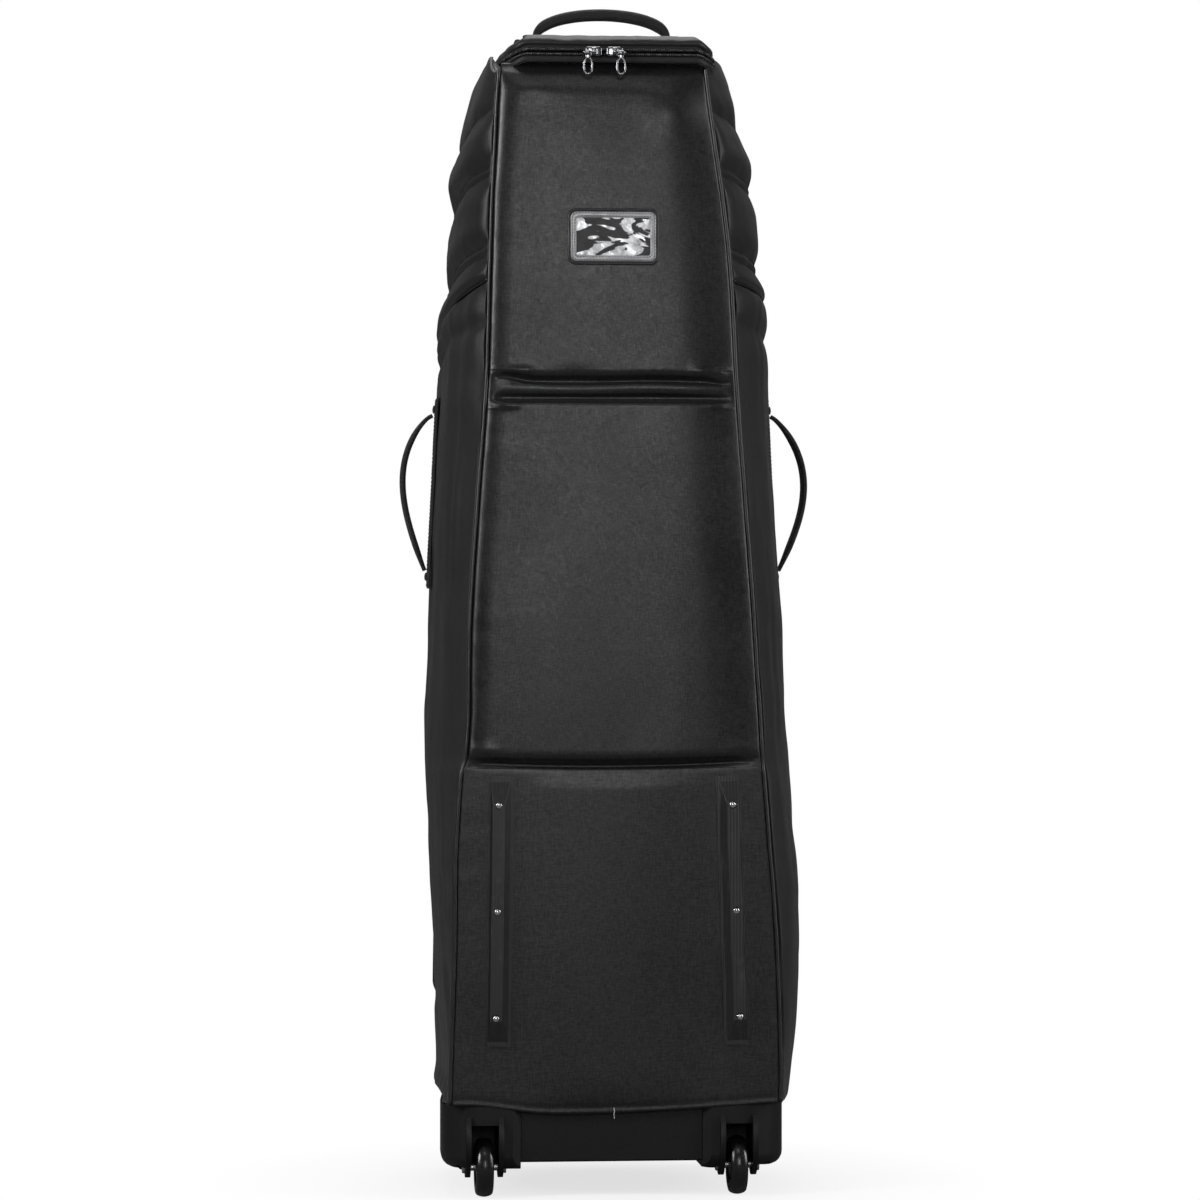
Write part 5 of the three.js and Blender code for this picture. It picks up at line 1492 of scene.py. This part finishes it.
# ---------------------------------------------------------------- inside and zip sliders
def inside():
    """Floor cushion, boards, and two straps with their buckles."""
    reshaped("floor_pad", "floor_cushion", base_move, PAD, "lining", 0.0020)
    for label in ("lower", "middle", "upper"):
        soften(NODES["stiffener_" + label], BOARD, 0.0006, segments=2)
    for label, z in (("upper", 700.0), ("lower", 330.0)):
        half = half_width(z) - 17
        x = np.linspace(-half + 58.5, half, 120)
        ripple = 0.48 * np.sin((x - x[0]) / 31.0) * edge(np.minimum(x - x[0], x[-1] - x), 30)
        strand("inside_strap_" + label, points(x, rear_y(z) + 12.7 + ripple, z),
               rounded_rect(19, 1.0, 0.8, 3), WEB, "shell", "webbing", "strap_web_" + label,
               ref=(0, 0, 1), fixed=True)
        for part in ("buckle_socket_", "buckle_plug_"):
            soften(NODES[part + label], BUCKLE, 0.0012)


def zip_slider(side, label):
    middle_x = -9
    x = middle_x + side * 11.4
    bar_x, bar_y, bar_z = middle_x + side * 18.0, -153.9, 1240.0
    bridge = spline([(x, -150.6, 1245.4), (x, -153.3, 1244.2), (x, -154.6, 1241.2),
                     (x, -153.6, 1238.6), (x, -150.8, 1237.4)], 0.5)
    parts = [blob((x, -149.9, 1241.4), (8.8, 1.9, 5.3), 0.55, 0.42),
             blob((x, -144.6, 1241.3), (4.6, 4.2, 0.55), 0.5, 0.5),
             blob((x, -142.7, 1239.6), (6.6, 0.9, 2.4), 0.5, 0.5),
             sweep(bridge, rounded_rect(2.5, 0.95, 0.8), ref=(1, 0, 0), fixed=True)]
    for arm_x in (bar_x - 4.4, bar_x + 4.4):
        arm = spline([(arm_x, -150.4, 1240.6), (arm_x, -152.6, 1240.9),
                      (arm_x, -154.2, 1240.0)], 0.4)
        parts.append(sweep(arm, circle(1.0, 12), ref=(1, 0, 0)))
    bar = points(bar_x + np.array([-4.6, -2, 2, 4.6]), bar_y, bar_z)
    parts.append(sweep(bar, circle(0.95, 14), ref=(0, 0, 1)))
    verts, polys, uv = join(parts)
    place(build("zip_slider_body_" + label, verts, polys, [ZIP_METAL], uv),
          "zip_slider_" + label, "zip_metal", "zip_slider_" + label)

    # pull: an oval ring, an eye round the bar and a neck between them
    angle = np.arange(64) / 64 * 2 * np.pi
    ring = points(bar_x + (4.5 - 0.5 * np.cos(angle)) * np.sin(angle), bar_y - 0.2,
                  bar_z - 14.6 + 8.9 * np.cos(angle))
    width = 1.35 + 0.35 * bell(np.cos(angle) + 1, 0.5)
    turn = np.arange(40) / 40 * 2 * np.pi
    eye = points(bar_x, bar_y + 1.95 * np.cos(turn), bar_z - 0.1 + 1.95 * np.sin(turn))
    verts, polys, uv = join([
        sweep(ring, rounded_rect(1.0, 1.0, 0.9) * [1, 0.85], ref=(0, 1, 0), closed=True,
              fixed=True, size=np.stack([width * 0.85, width], 1)),
        sweep(eye, rounded_rect(3.1, 0.55, 0.45, 3), ref=(1, 0, 0), closed=True, fixed=True),
        blob((bar_x, bar_y - 0.1, bar_z - 4.2), (2.6, 1.15, 2.6), 0.6, 0.7)])
    place(build("zip_pull_ring_" + label, verts, polys, [ZIP_METAL], uv),
          "zip_pull_" + label, "zip_metal", "zip_pull_" + label)


# ---------------------------------------------------------------- floor, lights, camera
def floor():
    """Diffuse floor that turns to plain white away from the case, for the camera only."""
    mat = bpy.data.materials.new("m_floor")
    mat.use_nodes = True
    tree = mat.node_tree
    tree.nodes.clear()
    # the colour given here is the fallback under the link made below
    diffuse = add_node(tree, "ShaderNodeBsdfDiffuse", {0: (0.86, 0.86, 0.86, 1)})
    glow = add_node(tree, "ShaderNodeEmission", {0: (1, 1, 1, 1), 1: 1.0})
    camera_ray = add_node(tree, "ShaderNodeLightPath").outputs["Is Camera Ray"]
    position = add_node(tree, "ShaderNodeNewGeometry").outputs["Position"]
    distance = add_node(tree, "ShaderNodeVectorMath", {0: position}, operation="LENGTH")
    fade = add_node(tree, "ShaderNodeMapRange", {
        "Value": distance.outputs["Value"], "From Min": 0.08, "From Max": 0.45,
        "To Min": 0.72})
    # darker for bounced light than for the camera
    colour = add_node(tree, "ShaderNodeMix", {
        0: camera_ray, 6: (0.22, 0.22, 0.22, 1), 7: (0.9, 0.9, 0.9, 1)}, data_type="RGBA")
    put(tree, diffuse.inputs[0], colour.outputs[2])
    share = add_node(tree, "ShaderNodeMath", {0: fade.outputs[0], 1: camera_ray},
                     operation="MULTIPLY")
    mix = add_node(tree, "ShaderNodeMixShader", {
        0: share.outputs[0], 1: diffuse.outputs[0], 2: glow.outputs[0]})
    add_node(tree, "ShaderNodeOutputMaterial", {0: mix.outputs[0]})

    size = 60.0
    mesh = bpy.data.meshes.new("floor")
    mesh.from_pydata([(-size, -size, 0), (size, -size, 0), (size, size, 0), (-size, size, 0)],
                     [], [(0, 1, 2, 3)])
    mesh.materials.append(mat)
    stage(bpy.data.objects.new("floor", mesh))


def stage(obj, location=None, direction=None):
    """Adds a piece of the set, turned to look along direction."""
    SCENE.collection.objects.link(obj)
    if location is not None:
        obj.location = location
        obj.rotation_euler = direction.to_track_quat("-Z", "Y").to_euler()


def area_light(name, location, target, width, height, power):
    light = bpy.data.lights.new(name, "AREA")
    light.energy = power
    light.size = width
    light.shape = "RECTANGLE"
    light.size_y = height
    stage(bpy.data.objects.new(name, light), location, Vector(target) - Vector(location))


def lights():
    area_light("key", location=(0.07, -4.8, 1.54), target=(0.0, 0, 0.9),
               width=0.62, height=1.35, power=34)
    area_light("top", location=(-0.1, 0.3, 3.2), target=(0, -0.1, 0.9),
               width=1.5, height=0.8, power=26)
    area_light("top_front", location=(-0.1, -1.9, 3.3), target=(0, -0.1, 0.9),
               width=1.1, height=0.6, power=5)
    area_light("side_left", location=(-2.4, -1.3, 1.75), target=(0, 0, 1.0),
               width=0.6, height=1.4, power=58)
    area_light("side_right", location=(2.4, -1.1, 1.4), target=(0, 0, 0.8),
               width=0.6, height=2.0, power=36)
    area_light("front_key", location=(0.25, 2.7, 3.9), target=(0, 0.15, 0.55),
               width=3.0, height=0.8, power=24)


def world():
    """White to the camera, dim to everything else."""
    SCENE.world = bpy.data.worlds.new("world")
    SCENE.world.use_nodes = True
    tree = SCENE.world.node_tree
    tree.nodes.clear()
    dim, white = (add_node(tree, "ShaderNodeBackground", {0: (1, 1, 1, 1), 1: strength})
                  for strength in (0.07, 1.0))
    camera_ray = add_node(tree, "ShaderNodeLightPath").outputs["Is Camera Ray"]
    mix = add_node(tree, "ShaderNodeMixShader", {
        0: camera_ray, 1: dim.outputs[0], 2: white.outputs[0]})
    add_node(tree, "ShaderNodeOutputWorld", {0: mix.outputs[0]})
    SCENE.view_settings.view_transform = "Standard"


def camera():
    """Long lens looking at the back of the case, swung a little to the left."""
    swing = math.radians(5.1)
    distance, shift = 5.0, 0.0135
    ahead = Vector((math.sin(swing), math.cos(swing), 0))
    right = Vector((math.cos(swing), -math.sin(swing), 0))
    lens = bpy.data.cameras.new("camera")
    lens.sensor_width = 36
    lens.lens = 138.5
    lens.clip_end = 200
    obj = bpy.data.objects.new("camera", lens)
    stage(obj, Vector((0, -0.150, 0.6473)) - ahead * distance - right * shift, ahead)
    SCENE.camera = obj


# ---------------------------------------------------------------- putting it together
def each_side(*makers):
    for side, label in SIDES:
        for make in makers:
            make(side, label)


back_cover()
hem_thread()
back_lining()
for side, label in SIDES:
    seed = 100 if side > 0 else 200
    side_panel(side, label, seed)
    quilted_pad(side, label, seed)
    quilt_threads(side, label)
    side_piping(side, label, seed)
gusset_band()
zip_coil("body", "shell", BODY_COIL_Z, 4.4, -12.2, [(107.8, 99.2, 1234.5), (110.0, 103.0, 1224.5)])
zip_coil("flap", "flap", FLAP_COIL_Z, -1.2, -5.6, [(106.4, 102.0, 1239.1), (108.2, 108.0, 1227.0)])
zip_tape("body", "shell", BODY_COIL_Z, -2.4, 1.6)
zip_tape("flap", "flap", FLAP_COIL_Z, -1.4, 4.4)
each_side(shoulder)
each_side(lower_corner)
each_side(front_zip_tape)
top_cap()
top_handle()
each_side(side_handle, side_patch)
each_side(top_handle_tab)
luggage_tag()
each_side(skid_rail)
each_side(rivets)
base()
each_side(wheel)
flap_panel()
front_pocket()
front_lower_panel()
fold_strip()
inside()
each_side(zip_slider)
floor()
lights()
world()
camera()
